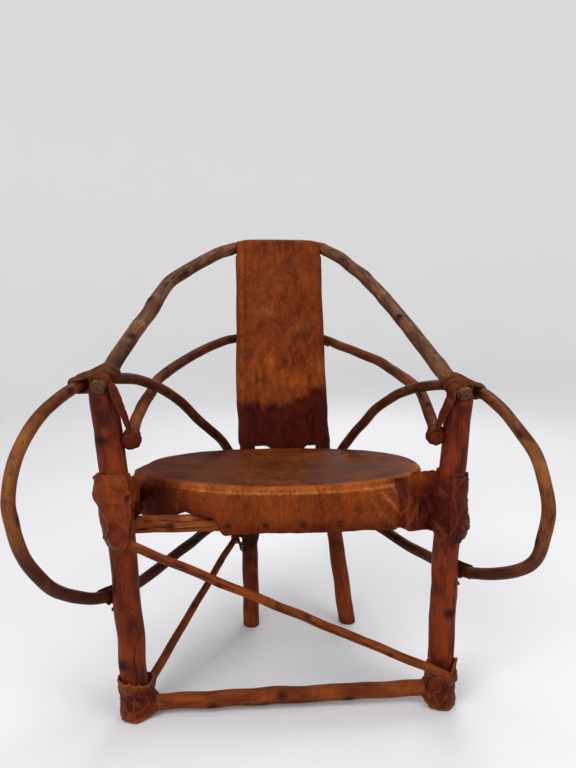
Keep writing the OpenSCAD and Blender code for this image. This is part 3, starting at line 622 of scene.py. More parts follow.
def wood(slot, colours, streak=0.5, patch=0.5, gloss=0.5, crack=0.5, fleck=0.3, spec=0.1):
    """Stick wood: bark or peeled grain that runs with the stick."""
    deep, mid, light, worn = colours
    g = Graph(slot + "_looks")
    own = g.attribute("own")
    dark, pale, end = g.parts(g.attribute("mask", "Color"))

    def drawn_out(length):
        """The stick's own coordinates, for a pattern that is drawn out along it."""
        return g.scaled(own, (1, 1, length))

    fibre = g.noise(drawn_out(0.07), 520, 6, 0.62)
    grain = g.noise(drawn_out(0.14), 170, 5, 0.58, 0.4)
    mottle = g.noise(drawn_out(0.45), 62, 6, 0.6, 0.6)
    region = g.noise(drawn_out(0.6), 17, 3, 0.5)
    tone = g.span(g.plus(g.times(mottle, 0.55), g.times(region, 0.45)), 0.39, 0.61)
    colour = g.ramp(tone, (0.0, deep), (0.42, mid), (0.8, light), (1.0, light))
    colour = g.mix(g.times(g.span(grain, 0.44, 0.66), streak), colour, deep)
    colour = g.mix(g.times(g.span(fibre, 0.52, 0.75), 0.45), colour, worn)
    patches = g.times(g.span(g.noise(own, 26, 4, 0.6, 1.0), 0.55, 0.68), patch)
    colour = g.mix(patches, colour, deep)
    bright = g.plus(pale, g.span(region, 0.6, 0.8, 0, 0.35))
    bright = g.times(bright, g.span(mottle, 0.3, 0.6), True)
    colour = g.mix(bright, colour, worn)
    lines = g.ramp(g.cells(drawn_out(0.035), 210), (0.0, 1.0), (0.035, 0.0))
    lines = g.times(g.times(lines, g.span(region, 0.42, 0.58)), crack)
    specks = g.times(g.span(g.noise(drawn_out(0.5), 420, 3, 0.5), 0.64, 0.72), fleck)
    spots = g.noise(drawn_out(0.6), 150, 3, 0.5, 0.8)
    spots = g.times(g.span(spots, 0.62, 0.72), fleck * 0.9)
    marks = lines
    for more in (specks, g.span(dark, 0.45, 0.9), spots):
        marks = g.math("MAXIMUM", marks, more)
    stained = g.times(g.span(dark, 0.0, 0.45), g.span(mottle, 0.3, 0.7, 1.15, 0.75), True)
    colour = g.mix(stained, colour, deep)
    colour = g.mix(marks, colour, BLACKENED)
    # the cut ends show rings round a dark pith
    length = g.tree.nodes.new("ShaderNodeVectorMath")
    length.operation = "LENGTH"
    g.link(drawn_out(0), length.inputs[0])
    swirl = g.plus(length.outputs["Value"], g.times(mottle, 0.0022))
    year_rings = g.math("SINE", g.times(swirl, 3600.0))
    pith = g.ramp(g.span(year_rings, -1, 1), (0.0, worn), (0.7, mid), (1.0, deep))
    pith = g.mix(g.span(swirl, 0.0015, 0.0035, 1, 0), pith, deep)
    colour = g.mix(end, colour, pith)
    rough = g.span(mottle, 0.3, 0.7, 0.62 - 0.3 * gloss, 0.82 - 0.3 * gloss)
    rough = g.plus(rough, g.times(marks, 0.2), True)
    g.shader.inputs["Specular IOR Level"].default_value = spec
    dents = g.math("SUBTRACT", mottle, g.times(marks, 0.7))
    return g.finish(
        colour, rough, ((dents, 0.55, 0.0016), (grain, 0.5, 0.0008), (fibre, 0.35, 0.0003))
    )


def leather(slot, colours, scale=1.0, gloss=0.4, speck=0.3, spec=0.06):
    """Sun-dried hide: mottled, creased and rubbed."""
    deep, mid, light, worn, raw = colours
    g = Graph(slot + "_looks")
    own = g.attribute("own")
    dark, pale, edge = g.parts(g.attribute("mask", "Color"))
    cloud = g.noise(own, 15 * scale, 4, 0.55, 0.5)
    mottle = g.noise(own, 70 * scale, 7, 0.65, 0.8)
    fine = g.noise(own, 330 * scale, 6, 0.68, 0.4)
    tone = g.span(g.plus(g.times(cloud, 0.45), g.times(mottle, 0.55)), 0.36, 0.64)
    colour = g.ramp(tone, (0.0, deep), (0.4, mid), (0.85, light), (1.0, light))
    colour = g.mix(g.attribute("olive", "Fac"), colour, g.ramp(tone, *OLIVE))
    rub = g.times(g.span(fine, 0.55, 0.75), g.span(cloud, 0.4, 0.62))
    colour = g.mix(g.times(rub, 0.5), colour, worn)
    uneven = g.times(g.span(mottle, 0.35, 0.65, -0.3, 0.3), g.span(dark, 0, 0.3))
    colour = g.mix(g.plus(dark, uneven, True), colour, MAROON)
    smudge = g.times(g.span(g.noise(own, 38 * scale, 5, 0.6, 1.4), 0.51, 0.66), dark)
    colour = g.mix(smudge, colour, SMUDGE)
    # the pale mask lightens towards the worn colour: rubbed wear, and painted highlights on crease
    # ridges of the seat and cuffs
    glow = g.times(pale, g.span(mottle, 0.28, 0.62, 0.25, 1.0), True)
    glow = g.times(glow, g.span(fine, 0.36, 0.6, 0.45, 1.15), True)
    colour = g.mix(glow, colour, worn)
    colour = g.mix(g.span(fine, 0.44, 0.34, 0, 0.35), colour, deep)
    grit = g.span(g.noise(own, 620 * scale, 3, 0.6), 0.6, 0.68)
    grit = g.times(grit, g.plus(g.span(pale, 0.45, 0.95, 0, 0.7), speck * 0.2), True)
    grit = g.times(grit, g.span(cloud, 0.42, 0.6))
    grit = g.times(grit, g.span(dark, 0.25, 0.7, 1.0, 0.0))
    colour = g.mix(grit, colour, raw)
    marks = g.noise(g.scaled(own, (0.45, 1.0, 1.0)), 30 * scale, 1.0, 0.5)
    scratch = g.span(g.math("ABSOLUTE", g.math("SUBTRACT", marks, 0.5)), 0.0, 0.0035, 1, 0)
    scratch = g.times(scratch, g.span(mottle, 0.55, 0.68, 0, speck))
    colour = g.mix(scratch, colour, raw)
    # the third mask: raw edges, and on the seat's fan ridges part of a painted highlight
    rim = g.times(edge, g.span(fine, 0.40, 0.58, 0.2, 1.1), True)
    colour = g.mix(rim, colour, raw)
    rough = g.span(mottle, 0.3, 0.7, 0.66 - 0.35 * gloss, 0.84 - 0.35 * gloss)
    rough = g.plus(rough, g.times(rim, 0.2), True)
    g.shader.inputs["Specular IOR Level"].default_value = spec
    folds = g.noise(own, 120 * scale, 6, 0.6, 1.2)
    pores = g.cells(own, 900 * scale, "F1")
    return g.finish(
        colour, rough,
        ((mottle, 0.35, 0.0015), (folds, 0.4, 0.0009), (fine, 0.4, 0.0004), (pores, 0.25, 0.0002)),
    )


# each material's colours, from the deepest to the lightest, and for hide the raw edge last
materials = {
    slot: make(slot, [srgb(*c) for c in colours], **options)
    for make, slot, colours, options in (
        (wood, "post_wood", ((54, 15, 5), (94, 31, 9), (118, 46, 15), (142, 70, 30)),
         dict(streak=0.22, patch=0.3, gloss=0.6, crack=0.18)),
        (wood, "pole_wood", ((68, 20, 7), (108, 41, 13), (130, 58, 19), (154, 82, 34)),
         dict(streak=0.3, patch=0.35, gloss=0.35, crack=0.3)),
        (wood, "crest_wood", ((50, 24, 15), (88, 51, 34), (114, 75, 50), (148, 104, 70)),
         dict(patch=0.35, gloss=0.3, crack=0.6)),
        (wood, "bow_wood", ((56, 18, 7), (96, 43, 17), (122, 63, 29), (152, 92, 48)),
         dict(gloss=0.45, crack=0.4)),
        (wood, "hoop_wood", ((58, 17, 6), (94, 44, 16), (122, 68, 29), (158, 102, 50)),
         dict(streak=0.45, patch=0.6, gloss=0.7, crack=0.3, fleck=0.9, spec=0.14)),
        (wood, "rail_wood", ((76, 29, 9), (120, 56, 19), (146, 76, 28), (170, 106, 48)),
         dict(streak=0.36, patch=0.35, gloss=0.4, crack=0.45)),
        (wood, "brace_wood", ((76, 28, 8), (108, 46, 13), (126, 60, 18), (152, 88, 38)),
         dict(streak=0.28, patch=0.3, crack=0.2)),
        (wood, "peg_wood", ((30, 11, 5), (52, 23, 11), (76, 38, 20), (108, 62, 36)),
         dict(patch=0.3, gloss=0.3)),
        (leather, "hide",
         ((60, 20, 7), (92, 36, 11), (112, 49, 15), (168, 80, 24), (196, 132, 66)), {}),
        (leather, "cuff_hide",
         ((62, 16, 6), (96, 34, 11), (118, 48, 16), (160, 82, 34), (186, 122, 70)),
         dict(scale=1.4, gloss=0.9, speck=0.2, spec=0.08)),
        (leather, "thong",
         ((30, 11, 6), (58, 26, 13), (92, 50, 24), (136, 86, 42), (150, 100, 60)),
         dict(scale=2.0, gloss=0.5, speck=0.1)),
    )
}


# ---------------------------------------------------------------- the sticks
def post_line(node):
    line = rings(node, 14)
    top = box(node)[1][2]
    rise = (line[-1] - line[-2]) * (top - line[-1][2]) / (line[-1][2] - line[-2][2])
    if top - line[-1][2] > 1e-4:
        line = np.vstack([line, line[-1] + rise * [1, 1, 1, 0]])
    line[0, 3] = line[1, 3]
    return into_floor(line)


def into_floor(line):
    """Carries a leg's line on under the floor, where its end is cut off flat."""
    below = line[0] + (line[0] - line[1]) * UNDER_FLOOR / np.linalg.norm(line[0] - line[1])
    return np.vstack([below, line])


def left_first(line):
    return line[::-1] if line[0][0] > 0 else line


crest = left_first(rings("crest_bow", 10))
middle = left_first(rings("middle_bow", 10))
posts = {side: post_line("front_post_" + side) for side, _ in SIDES}
poles = {side: into_floor(rings("rear_pole_" + side, 12)) for side, _ in SIDES}
hoops = {side: rings("arm_hoop_" + side, 10) for side, _ in SIDES}


def hollow_top(o):
    """Moves a post's top down round the end of the crest bow that lies in it."""
    bow = spline(crest, 0.002)[1]

    def hollow(points):
        high = points[:, 2].max()
        low = high - 0.03
        for i in np.flatnonzero(points[:, 2] > low):
            x, y, z = points[i]
            near = bow[np.argmin((bow[:, 0] - x) ** 2 + (bow[:, 1] - y) ** 2)]
            off = math.hypot(near[0] - x, near[1] - y)
            r = near[3] + 0.0004
            if off < r:
                top = min(high, near[2] - math.sqrt(r * r - off * off))
                points[i, 2] = low + (z - low) * (top - low) / (high - low)
        return points

    points = hollow(np.array([v.co[:] for v in o.data.vertices]))
    o.data.vertices.foreach_set("co", points.ravel())
    o.data.update()
    soups[o.name] = (hollow(soups[o.name][0]), soups[o.name][1])


for side, seed, knots, cracks in (
    ("left", 11,
     ((0.235, 5.7, 0.0016, 0.012), (0.62, 0.5, 0.001, 0.012), (0.86, 5.9, 0.0012, 0.01)),
     ((0.08, 0.3, 0.35, 0.5, 0.0012), (0.42, 0.56, 5.6, 0.3, 0.0009))),
    ("right", 12, ((0.66, 5.9, 0.0012, 0.012), (0.33, 0.3, 0.001, 0.01)),
     ((0.03, 0.44, 0.75, -0.5, 0.0030), (0.5, 0.6, 6.0, 0.2, 0.001))),
):
    hollow_top(stick(
        "front_post_stick_" + side, posts[side], "post_wood", ["front_post_" + side],
        sides=64, seed=seed, uneven=0.022, knots=knots, cracks=cracks, flute=0.0003,
    ))

for side, seed in (("left", 21), ("right", 22)):
    stick(
        "rear_pole_stick_" + side, poles[side], "pole_wood", ["rear_pole_" + side], sides=44,
        seed=seed, uneven=0.022, knots=((0.3, 5.9, 0.001, 0.01),),
        cracks=((0.05, 0.3, 0.2, 0.4, 0.0009),), flute=0.0002,
    )

stick(
    "crest_bow_stick", crest, "crest_wood", ["crest_bow"], sides=44, seed=31, uneven=0.022,
    wander=0.0006, flute=0.0004,
    knots=((0.195, 5.6, 0.0022, 0.012), (0.10, 0.4, 0.0012, 0.01), (0.30, 0.8, 0.0012, 0.012),
           (0.70, 5.4, 0.0014, 0.012), (0.83, 0.5, 0.0012, 0.01), (0.94, 4.6, 0.0022, 0.014)),
    bands=((0.135, 0.005, 0.9), (0.765, 0.005, 0.9), (0.975, 0.02, 0.3)), end_dark=0.5,
    swell=((0.137, 0.010, 0.0008), (0.765, 0.010, 0.0007), (0.2, 0.02, 0.0009)),
    cracks=((0.2, 0.33, 0.3, 0.3, 0.0009), (0.66, 0.9, 5.9, -0.4, 0.0010)),
)
stick(
    "middle_bow_stick", middle, "bow_wood", ["middle_bow"], seed=41, uneven=0.022,
    wander=0.0006, flute=0.0003,
    knots=((0.10, 5.8, 0.0012, 0.01), (0.22, 0.5, 0.0012, 0.009), (0.81, 5.4, 0.0014, 0.01),
           (0.92, 0.4, 0.0016, 0.01)),
    bands=((0.06, 0.03, 0.4),), ends=(0.002, 0.002), end_dark=0.62,
    stain=lambda k: 0.22 * step(k, 0.10, 0.3) * step(-k, -0.9, -0.7),
)
for side, seed, knots, stain in (
    ("left", 51,
     ((0.14, 0.4, 0.0009, 0.008), (0.35, 5.6, 0.0011, 0.009), (0.47, 0.3, 0.0012, 0.01),
      (0.62, 5.8, 0.0012, 0.01), (0.78, 0.4, 0.0010, 0.009)),
     lambda k: 0.44 * (1 - step(k, 0.36, 0.50)) + 0.30 * step(k, 0.60, 0.66)),
    ("right", 52,
     ((0.18, 5.7, 0.0009, 0.009), (0.33, 0.3, 0.0012, 0.01), (0.44, 5.9, 0.0010, 0.01),
      (0.56, 0.4, 0.0012, 0.01), (0.74, 5.8, 0.0010, 0.009)),
     lambda k: 0.35 * (1 - step(k, 0.34, 0.48)) + 0.28 * step(k, 0.60, 0.68)),
):
    stick(
        "arm_hoop_stick_" + side, hoops[side], "hoop_wood", ["arm_hoop_" + side], seed=seed,
        uneven=0.026, wander=0.0006, knots=knots, flute=0.0003, stain=stain,
        bands=((0.53, 0.05, 0.35), (0.44, 0.04, 0.25)), ends=(0.003, 0.003),
    )

for node, slot, seed, options in (
    ("front_seat_rail", "rail_wood", 61, dict(
        sides=48, uneven=0.022, flute=0.0005, wander=0.0006,
        cracks=((0.05, 0.28, 0.2, 0.6, 0.0022), (0.12, 0.4, 5.7, -0.3, 0.0016),
                (0.55, 0.85, 0.3, 0.3, 0.0015)),
        knots=((0.16, 0.1, 0.0014, 0.01), (0.96, 0.2, 0.0012, 0.008)))),
    ("rear_seat_rail", "rail_wood", 62, dict(cracks=((0.2, 0.6, 3.0, 0.3, 0.0012),))),
    *((f"seat_stick_{k}", "rail_wood", 62 + k, dict(sides=28)) for k in (1, 2, 3, 4)),
    ("foot_stretcher", "brace_wood", 67, dict(
        sides=44, uneven=0.026, wander=0.0006, flute=0.0003,
        knots=((0.22, 0.2, 0.0014, 0.012), (0.47, 5.8, 0.0010, 0.012), (0.71, 0.4, 0.0013, 0.010)),
        cracks=((0.28, 0.62, 0.3, 0.2, 0.0012),), swell=((0.42, 0.05, 0.0008),))),
    ("long_brace", "brace_wood", 68, dict(
        sides=32, uneven=0.022, wander=0.0006, flute=0.0002,
        knots=((0.30, 0.3, 0.0009, 0.008), (0.55, 5.7, 0.0012, 0.008), (0.80, 0.2, 0.0008, 0.008)),
        cracks=((0.1, 0.35, 6.1, 0.3, 0.0010), (0.45, 0.8, 0.2, -0.3, 0.0009)),
        bands=((0.55, 0.006, 0.7),))),
    ("short_brace", "brace_wood", 69, dict(
        sides=32, uneven=0.022, wander=0.0006, flute=0.0002,
        knots=((0.4, 5.9, 0.0009, 0.008), (0.7, 0.3, 0.0009, 0.008)))),
):
    ends = straight(node)
    line = np.array([ends[0] * (1 - k) + ends[1] * k for k in np.linspace(0, 1, 6)])
    stick(node + "_bar", line, slot, [node], seed=seed, **options)

# the bent rim under the hide, an oval with a fuller back
rim_lo, rim_hi = box("seat_rim_hoop")
rim_r = (rim_hi[2] - rim_lo[2]) / 2
rim_c = (rim_lo + rim_hi) / 2
BACK_POWER = 2.4
RIM_POINTS = 48


def oval(a, centre, half):
    """Points of the seat's outline: a full superellipse behind and an ellipse in front."""
    c, s = np.cos(a), np.sin(a)
    power = np.where(s > 0, 2 / BACK_POWER, 1.0)
    x = centre[0] + half[0] * np.sign(c) * np.abs(c) ** power
    y = centre[1] + half[1] * np.sign(s) * np.abs(s) ** power
    return np.stack([x, y], -1)


a = np.linspace(0, TURN, RIM_POINTS, endpoint=False) + 0.01
q = oval(a, rim_c, (rim_hi - rim_lo)[:2] / 2 - rim_r)
stick(
    "seat_rim_stick", np.c_[q, np.tile([rim_c[2], rim_r], (RIM_POINTS, 1))], "hoop_wood",
    ["seat_rim_hoop"], sides=32, gap=0.006, seed=70, uneven=0.025, closed=True,
)

# ---------------------------------------------------------------- the seat's hide
hide_lo, hide_hi = box("seat_hide")
seat_c, seat_half = (hide_lo + hide_hi)[:2] / 2, (hide_hi - hide_lo)[:2] / 2
seat_top, skirt_low, seat_front = hide_hi[2], hide_lo[2], hide_lo[1]
ROUND = 0.006  # radius of the seat's edge, m
rail_z, rail_r = straight("front_seat_rail")[0, 2:]
peg_lo, peg_hi = box("hide_pegs")
peg_r = (peg_hi[2] - peg_lo[2]) / 2
peg_x = np.linspace(peg_lo[0] + peg_r, peg_hi[0] - peg_r, 4)
side_low = rail_z + rail_r + 0.002
apron_left = peg_x[0] - 0.009
right_post_x = np.interp(rail_z, posts["right"][:, 2], posts["right"][:, 0])
apron_right = right_post_x - posts["right"][2, 3] - 0.019


def skirt_out(x):
    """How far the skirt has come forward to the front rail, from 0 to 1, towards its right end."""
    return slope(-x, -apron_right - 0.014, -apron_right)


def skirt_down(x):
    """How far the skirt's hem is down, from 0 to 1, towards its right end."""
    return step(-x, -apron_right + 0.016, -apron_right + 0.034)


def seat_hide():
    cols = 440
    a = np.linspace(0, TURN, cols, endpoint=False)
    degrees = np.degrees(a)
    rim = oval(a, seat_c, seat_half)
    front = a > math.pi
    out = front * slope(rim[:, 0], apron_left - 0.052, apron_left - 0.028) * skirt_out(rim[:, 0])
    down = front * step(rim[:, 0], apron_left - 0.016, apron_left + 0.004) * skirt_down(rim[:, 0])
    wavy = 0.0022 * ripple(circle(a), 0.45, 3) + 0.0007 * ripple(circle(a), 0.12, 4)
    foot_z = side_low + (skirt_low - side_low) * down + wavy * (0.35 + 0.65 * down)
    corner = np.clip(1 - np.abs(degrees - 184) / 13, 0, 1) ** 1.4
    low_left = step(degrees, 177, 185) * step(-degrees, -234, -216)
    foot_z = np.maximum(foot_z, skirt_low - 0.002) - 0.0185 * low_left
    foot_y = rim[:, 1] + (seat_front - rim[:, 1]) * out
    # the level is -1 at the middle, 0 at the edge of the top and 1 at the hem
    rows, level = [], []
    for share in np.linspace(0.02, 1, 44) ** 0.8:
        rows.append(np.c_[oval(a, seat_c, (seat_half - ROUND) * share), np.full(cols, seat_top)])
        level.append(share - 1.0)
    for k in range(1, 8):
        turn = k / 7 * math.pi / 2
        q = oval(a, seat_c, seat_half - ROUND * (1 - math.sin(turn)))
        rows.append(np.c_[q, np.full(cols, seat_top - ROUND * (1 - math.cos(turn)))])
        level.append(0.01 * k / 7)
    for k in range(1, 25):
        d = k / 24
        y = rim[:, 1] + (foot_y - rim[:, 1]) * math.sin(math.pi / 2 * min(1, 2 * d))
        z = (seat_top - ROUND) * (1 - d) + foot_z * d
        rows.append(np.stack([rim[:, 0], y, z], 1))
        level.append(0.01 + 0.99 * d)
    p = np.array(rows)
    level = np.array(level)[:, None] * np.ones(cols)
    x, y, z = p[..., 0], p[..., 1], p[..., 2]
    on_top, d, inner = level < 0, np.clip(level, 0, 1), np.clip(-level, 0, 1)
    flat = p * [1, 1, 0]
    right_end, left_end = step(x, 0.115, 0.175), step(-x, 0.118, 0.170)
    back = step(y, seat_c[1] + 0.02, seat_c[1] + 0.10)
    # the top: sunk in the middle, creased towards both ends
    off_edge = step(inner, 0.02, 0.12)
    ridge = crease(flat * [1.0, 2.6, 0], 0.055, 7) * step(x, 0.08, 0.14) * step(y, -0.03, 0.05)
    ridge = ridge * off_edge
    lift = (
        -0.0042 * np.clip(inner * 1.15, 0, 1) ** 0.8
        + 0.0011 * ripple(flat, 0.11, 5) * step(inner, 0.02, 0.2)
        + 0.0003 * ripple(flat, 0.04, 6)
        + 0.0018 * ridge * step(1 - inner, 0.5, 0.8)
        + 0.0007 * (crease(flat * [1.4, 2.2, 0], 0.06, 8) * step(-x, 0.1, 0.16)) * off_edge
        + 0.0012 * bump(inner, 0.035, 0.03)
    )
    edge_lift = lift[on_top.sum(0)[0] - 1]
    p[..., 2] += np.where(on_top, lift, edge_lift[None] * np.clip(1 - d * 4, 0, 1))
    # the skirt: folded outwards, straight ahead where it comes forward to the rail
    away = np.stack([x - seat_c[0], (y - seat_c[1]) * (seat_half[0] / seat_half[1]) ** 2], -1)
    away, ahead = unit(away), out[None, :, None]
    forward = unit(away * (1 - 0.85 * ahead) + np.array([0, -0.85]) * ahead)
    away = np.where(front[None, :, None], forward, away)
    tall = p * [1, 1, 0.28]
    tip = 1 - step(np.abs(x - seat_c[0]), 0.144, 0.168)
    fan = crease(np.stack([x + (z - skirt_low) * 0.9, x * 0, z * 0.25], -1), 0.030, 12)
    folds = (
        0.0005 * (1 + ripple(tall, 0.024, 9)) * step(d, 0.05, 0.5)
        + 0.0006 * (1 + ripple(p * [1, 1, 0.6], 0.05, 10)) * step(d, 0.1, 0.7)
        + 0.0026 * fan * right_end * front * step(d, 0.04, 0.3) * tip
        + 0.0012 * crease(p * [1, 1, 0.7], 0.05, 13) * left_end * step(d, 0.1, 0.4) * tip
        + bump(degrees, 193.0, 17.0) * front
        * (0.0060 * step(d, 0.0, 0.22) + 0.0010 * step(d, 0.7, 1.0))
        + 0.0015 * step(d, 0.75, 1.0)
    )
    for at in peg_x:
        near = spot_at(x, z, (at, rail_z), (0.009, 0.008)) * front
        pucker = bump(np.hypot(x - at, z - rail_z), 0.011, 0.004) * front * (d > 0.3)
        folds = folds * (1 - 0.85 * near) + 0.0009 * pucker
    p[..., :2] += away * folds[..., None] * (~on_top)[..., None]
    p[..., 0] -= 0.011 * corner * step(level, -0.07, 0.0) * (1 - 0.3 * step(d, 0.3, 1.0))
    p[..., :2] -= 0.004 * (bump(degrees, 205, 14) * step(d, 0.02, 0.3))[..., None]
    # the masks
    band = (~on_top) & front[None]
    at_edge = step(1 - inner, 0.45, 0.95)
    dark = most(
        band * (0.22 + 0.45 * step(d, 0.66, 0.98) + 0.16 * ripple(tall, 0.06, 15)),
        0.50 * band * left_end * step(d, -0.1, 0.12),
        # less dark on the fan's ridges, where the painted highlights lie
        0.85 * band * step(x, 0.145, 0.175) * (1 - 0.75 * fan),
        on_top * back * 0.62 * step(np.abs(x - 0.01), 0.05, 0.13) * at_edge,
        on_top * 0.45 * step(-x, 0.10, 0.17) * step(1 - inner, 0.5, 0.95),
        0.6 * (~on_top) * (~front)[None],
        *(0.8 * spot_at(x, z, (at, rail_z), (0.005, 0.006)) * band for at in peg_x),
    )
    gritty = 0.6 + 0.4 * ripple(flat, 0.03, 16)
    pale = most(
        # a pale line along the front rim: gritty wear and a painted highlight on the rounded edge
        front * bump(level, 0.025, 0.05) * (1 - 0.7 * left_end) * (0.45 + 0.55 * gritty),
        0.26 * band * (1 - left_end) * (1 - 0.7 * step(d, 0.6, 1.0)),
        0.42 * band * step(ripple(tall, 0.07, 17), 0.1, 0.7) * (1 - left_end) * (1 - d * 0.8),
        # painted highlights on the ridges of the fan creases at the right end
        band * fan * right_end,
        0.08 * on_top * step(inner, 0.1, 0.5) * cloudy(flat * [1, 2.4, 0], 0.12, 14),
        # painted highlight on the creased ridge of the top
        0.5 * ridge * on_top,
    )
    # the rubbed front rim: worn leather and a painted highlight along the rounded edge
    rim_wear_and_highlight = bump(level, 0.045, 0.03) * (0.35 + 0.65 * step(ripple(flat, 0.016, 18), -0.3, 0.5))
    raw = most(
        0.5 * step(d, 0.972, 1.0) * front * (0.15 + 0.85 * left_end),
        0.62 * front * rim_wear_and_highlight * (1 - 0.8 * left_end),
        # the raw colour on the fan's ridges is part of the same painted highlights
        0.35 * band * fan * right_end * (1 - step(d, 0.7, 1.0)),
        0.5 * bump(degrees, 181.5, 1.2) * left_end * step(d, 0.1, 0.2),
    )
    olive = on_top * step(inner, 0.0, 0.10)
    olive = olive * (1 - 0.85 * step(np.abs(x - seat_c[0] + 0.01), 0.125, 0.20))
    olive = olive * (0.82 + 0.18 * ripple(flat, 0.08, 19)) * (1 - 0.5 * back * at_edge)
    mask = np.stack([dark, pale, raw], -1).reshape(-1, 3)
    # one more point closes the middle
    hub = p[..., 0].size
    points = np.vstack([p.reshape(-1, 3), [*seat_c, p[0, :, 2].mean()]])
    faces = [f[::-1] for f in grid_faces(len(rows), cols)]
    faces += [(hub, k, (k + 1) % cols) for k in range(cols)]
    o = piece("seat_hide_skin", points, faces, "hide", ["seat_hide"],
              np.vstack([mask, mask[0]]), points * [1, 1, 0.36])
    olive = np.clip(np.append(olive.ravel(), olive[0, 0]), 0, 1)
    attribute(o.data, "olive", "FLOAT", "value", olive)
    thicken(o, SEAT_SKIN)


seat_hide()


def skirt_y(x, z):
    """Where the hide's front skirt is, towards its right end."""
    from_middle = np.clip((x - seat_c[0]) / seat_half[0], -1, 1)
    rim_y = seat_c[1] - seat_half[1] * np.sqrt(1 - from_middle**2)
    low, high = side_low + (skirt_low - side_low) * skirt_down(x), seat_top - ROUND
    d = np.clip((high - z) / (high - low), 0, 1)
    return rim_y + (seat_front - rim_y) * skirt_out(x) * np.sin(math.pi / 2 * np.minimum(1, 2 * d))


def web(
    name, top, bottom, across, down, swell_out, creases, paint, edge_wave, hug=0.0,
    slot="hide",
):
    """A web of hide between two lines of points; creases and paint follow the share across, the
    share down and the place, and hug keeps it that far before the skirt."""
    k = np.linspace(0, 1, across)

    def even_line(points):
        line = spline(points, 0.002)[1]
        at = np.linspace(0, 1, len(line))
        return np.stack([np.interp(k, at, line[:, i]) for i in range(3)], 1)

    v = np.linspace(0, 1, down)[:, None, None]
    p = even_line(top) * (1 - v) + even_line(bottom) * v
    U, V = np.meshgrid(k, v[:, 0, 0])
    normal = unit(np.cross(np.gradient(p, axis=1), np.gradient(p, axis=0)))
    normal = normal * np.where((normal @ FRONT) < 0, -1, 1)[..., None]
    p = p + normal * (swell_out * np.sin(math.pi * V))[..., None]
    if hug:
        near = skirt_y(p[..., 0], p[..., 2]) - hug
        p[..., 1] += step(-U, -0.75, -0.35) * np.minimum(near - p[..., 1], 0)
    p = p + normal * creases(U, V, p)[..., None]
    p[..., 2] += edge_wave * ripple(p, 0.02, 19) * (bump(V, 0, 0.08) + bump(V, 1, 0.08))
    mask = np.stack(np.broadcast_arrays(*paint(U, V, p)), -1).reshape(-1, 3)
    p = p.reshape(-1, 3)
    o = piece(name, p, grid_faces(down, across, wrap=False), slot, ["seat_hide"],
              mask, p * [1, 1, 0.6])
    faces_out(o, p.mean(0) - FRONT)
    thicken(o, WEB_SKIN)


def creased(u, v, size, seed):
    return crease(np.stack([u, v, 0 * u], -1), size, seed)


def end_folds(U, V):
    return creased(U * 0.075 + V * 0.012, V * 0.02, 0.022, 18)


# the hide's right end runs on to the right post's cuff, dark and wrinkled
web(
    "seat_hide_right_end",
    [[0.168, -0.0860, 0.3125], [0.182, -0.0870, 0.3165], [0.198, -0.1000, 0.3270],
     [0.209, -0.1200, 0.3350], [0.2165, -0.1430, 0.3350], [0.2260, -0.1592, 0.3330]],
    [[0.164, -0.1275, 0.2530], [0.178, -0.1290, 0.2510], [0.192, -0.1310, 0.2530],
     [0.204, -0.1370, 0.2560], [0.2140, -0.1480, 0.2560], [0.2240, -0.1600, 0.2560]],
    70, 64, 0.0016,
    lambda U, V, p: 0.0030 * end_folds(U, V) * step(V, 0.0, 0.1) * (1 - 0.6 * step(U, 0.8, 1.0))
    + 0.0012 * creased(U * 0.08, V * 0.07, 0.02, 20),
    lambda U, V, p: (
        0.62 + 0.35 * step(U, 0.15, 0.5) * step(V, 0.10, 0.35) + 0.2 * ripple(p, 0.04, 21),
        # painted highlights on the fold ridges of the web's left part
        0.5 * (1 - step(U, 0.2, 0.6)) * end_folds(U, V)
        + 0.35 * (1 - step(V, 0.1, 0.35)) * bump(U, 0.45, 0.25),
        0.10 * step(V, 0.975, 1.0),
    ),
    0.002, hug=0.0045,
)
# a tan strip and a black knot of thong are at the seat's left end; the knot's near-black is also
# painted shade in the hollow under that end
web(
    "seat_hide_left_strap",
    [[-0.2045, -0.1330, 0.3370], [-0.2060, -0.0950, 0.3260], [-0.2090, -0.0450, 0.3110]],
    [[-0.2035, -0.1330, 0.3040], [-0.2050, -0.0950, 0.2890], [-0.2080, -0.0450, 0.2700]],
    40, 16, 0.001,
    lambda U, V, p: 0.0012 * creased(U * 0.08, V * 0.025, 0.02, 22),
    lambda U, V, p: (0.15, 0.45 + 0.3 * ripple(p, 0.02, 23), 0.25 * bump(V, 0, 0.06)),
    0.0008,
)
web(
    "seat_hide_left_knot_and_shade",
    [[-0.2035, -0.1330, 0.2985], [-0.2015, -0.1100, 0.2945], [-0.1995, -0.0880, 0.2890]],
    [[-0.2000, -0.1300, 0.2745], [-0.1985, -0.1100, 0.2735], [-0.1975, -0.0900, 0.2745]],
    40, 20, 0.003,
    lambda U, V, p: 0.0022 * creased(U * 0.08, V * 0.03, 0.018, 24),
    # near-black: a thong knot, and painted shade in the hollow under the seat's left end
    lambda U, V, p: (0.97, 0 * U, 0.0),
    0.001, slot="thong",
)

# ---------------------------------------------------------------- the back's hide
base_y = (poles["left"][0, 1] + poles["right"][0, 1]) / 2
rise = poles["left"][-1] - poles["left"][0]
lean = math.atan2(rise[1], rise[2])
pole_len = poles["left"][-1, 2] / math.cos(lean)
back_way = np.array([0, math.sin(lean), math.cos(lean)])
back_out = np.array([0, math.cos(lean), -math.sin(lean)])


def on_back(x, n, h):
    """A point off the back poles' plane by n, at the distance h along them."""
    x, n, h = np.broadcast_arrays(x, n, h)
    flat = np.stack([x, x * 0 + base_y, x * 0], -1)
    return flat + n[..., None] * back_out + h[..., None] * back_way


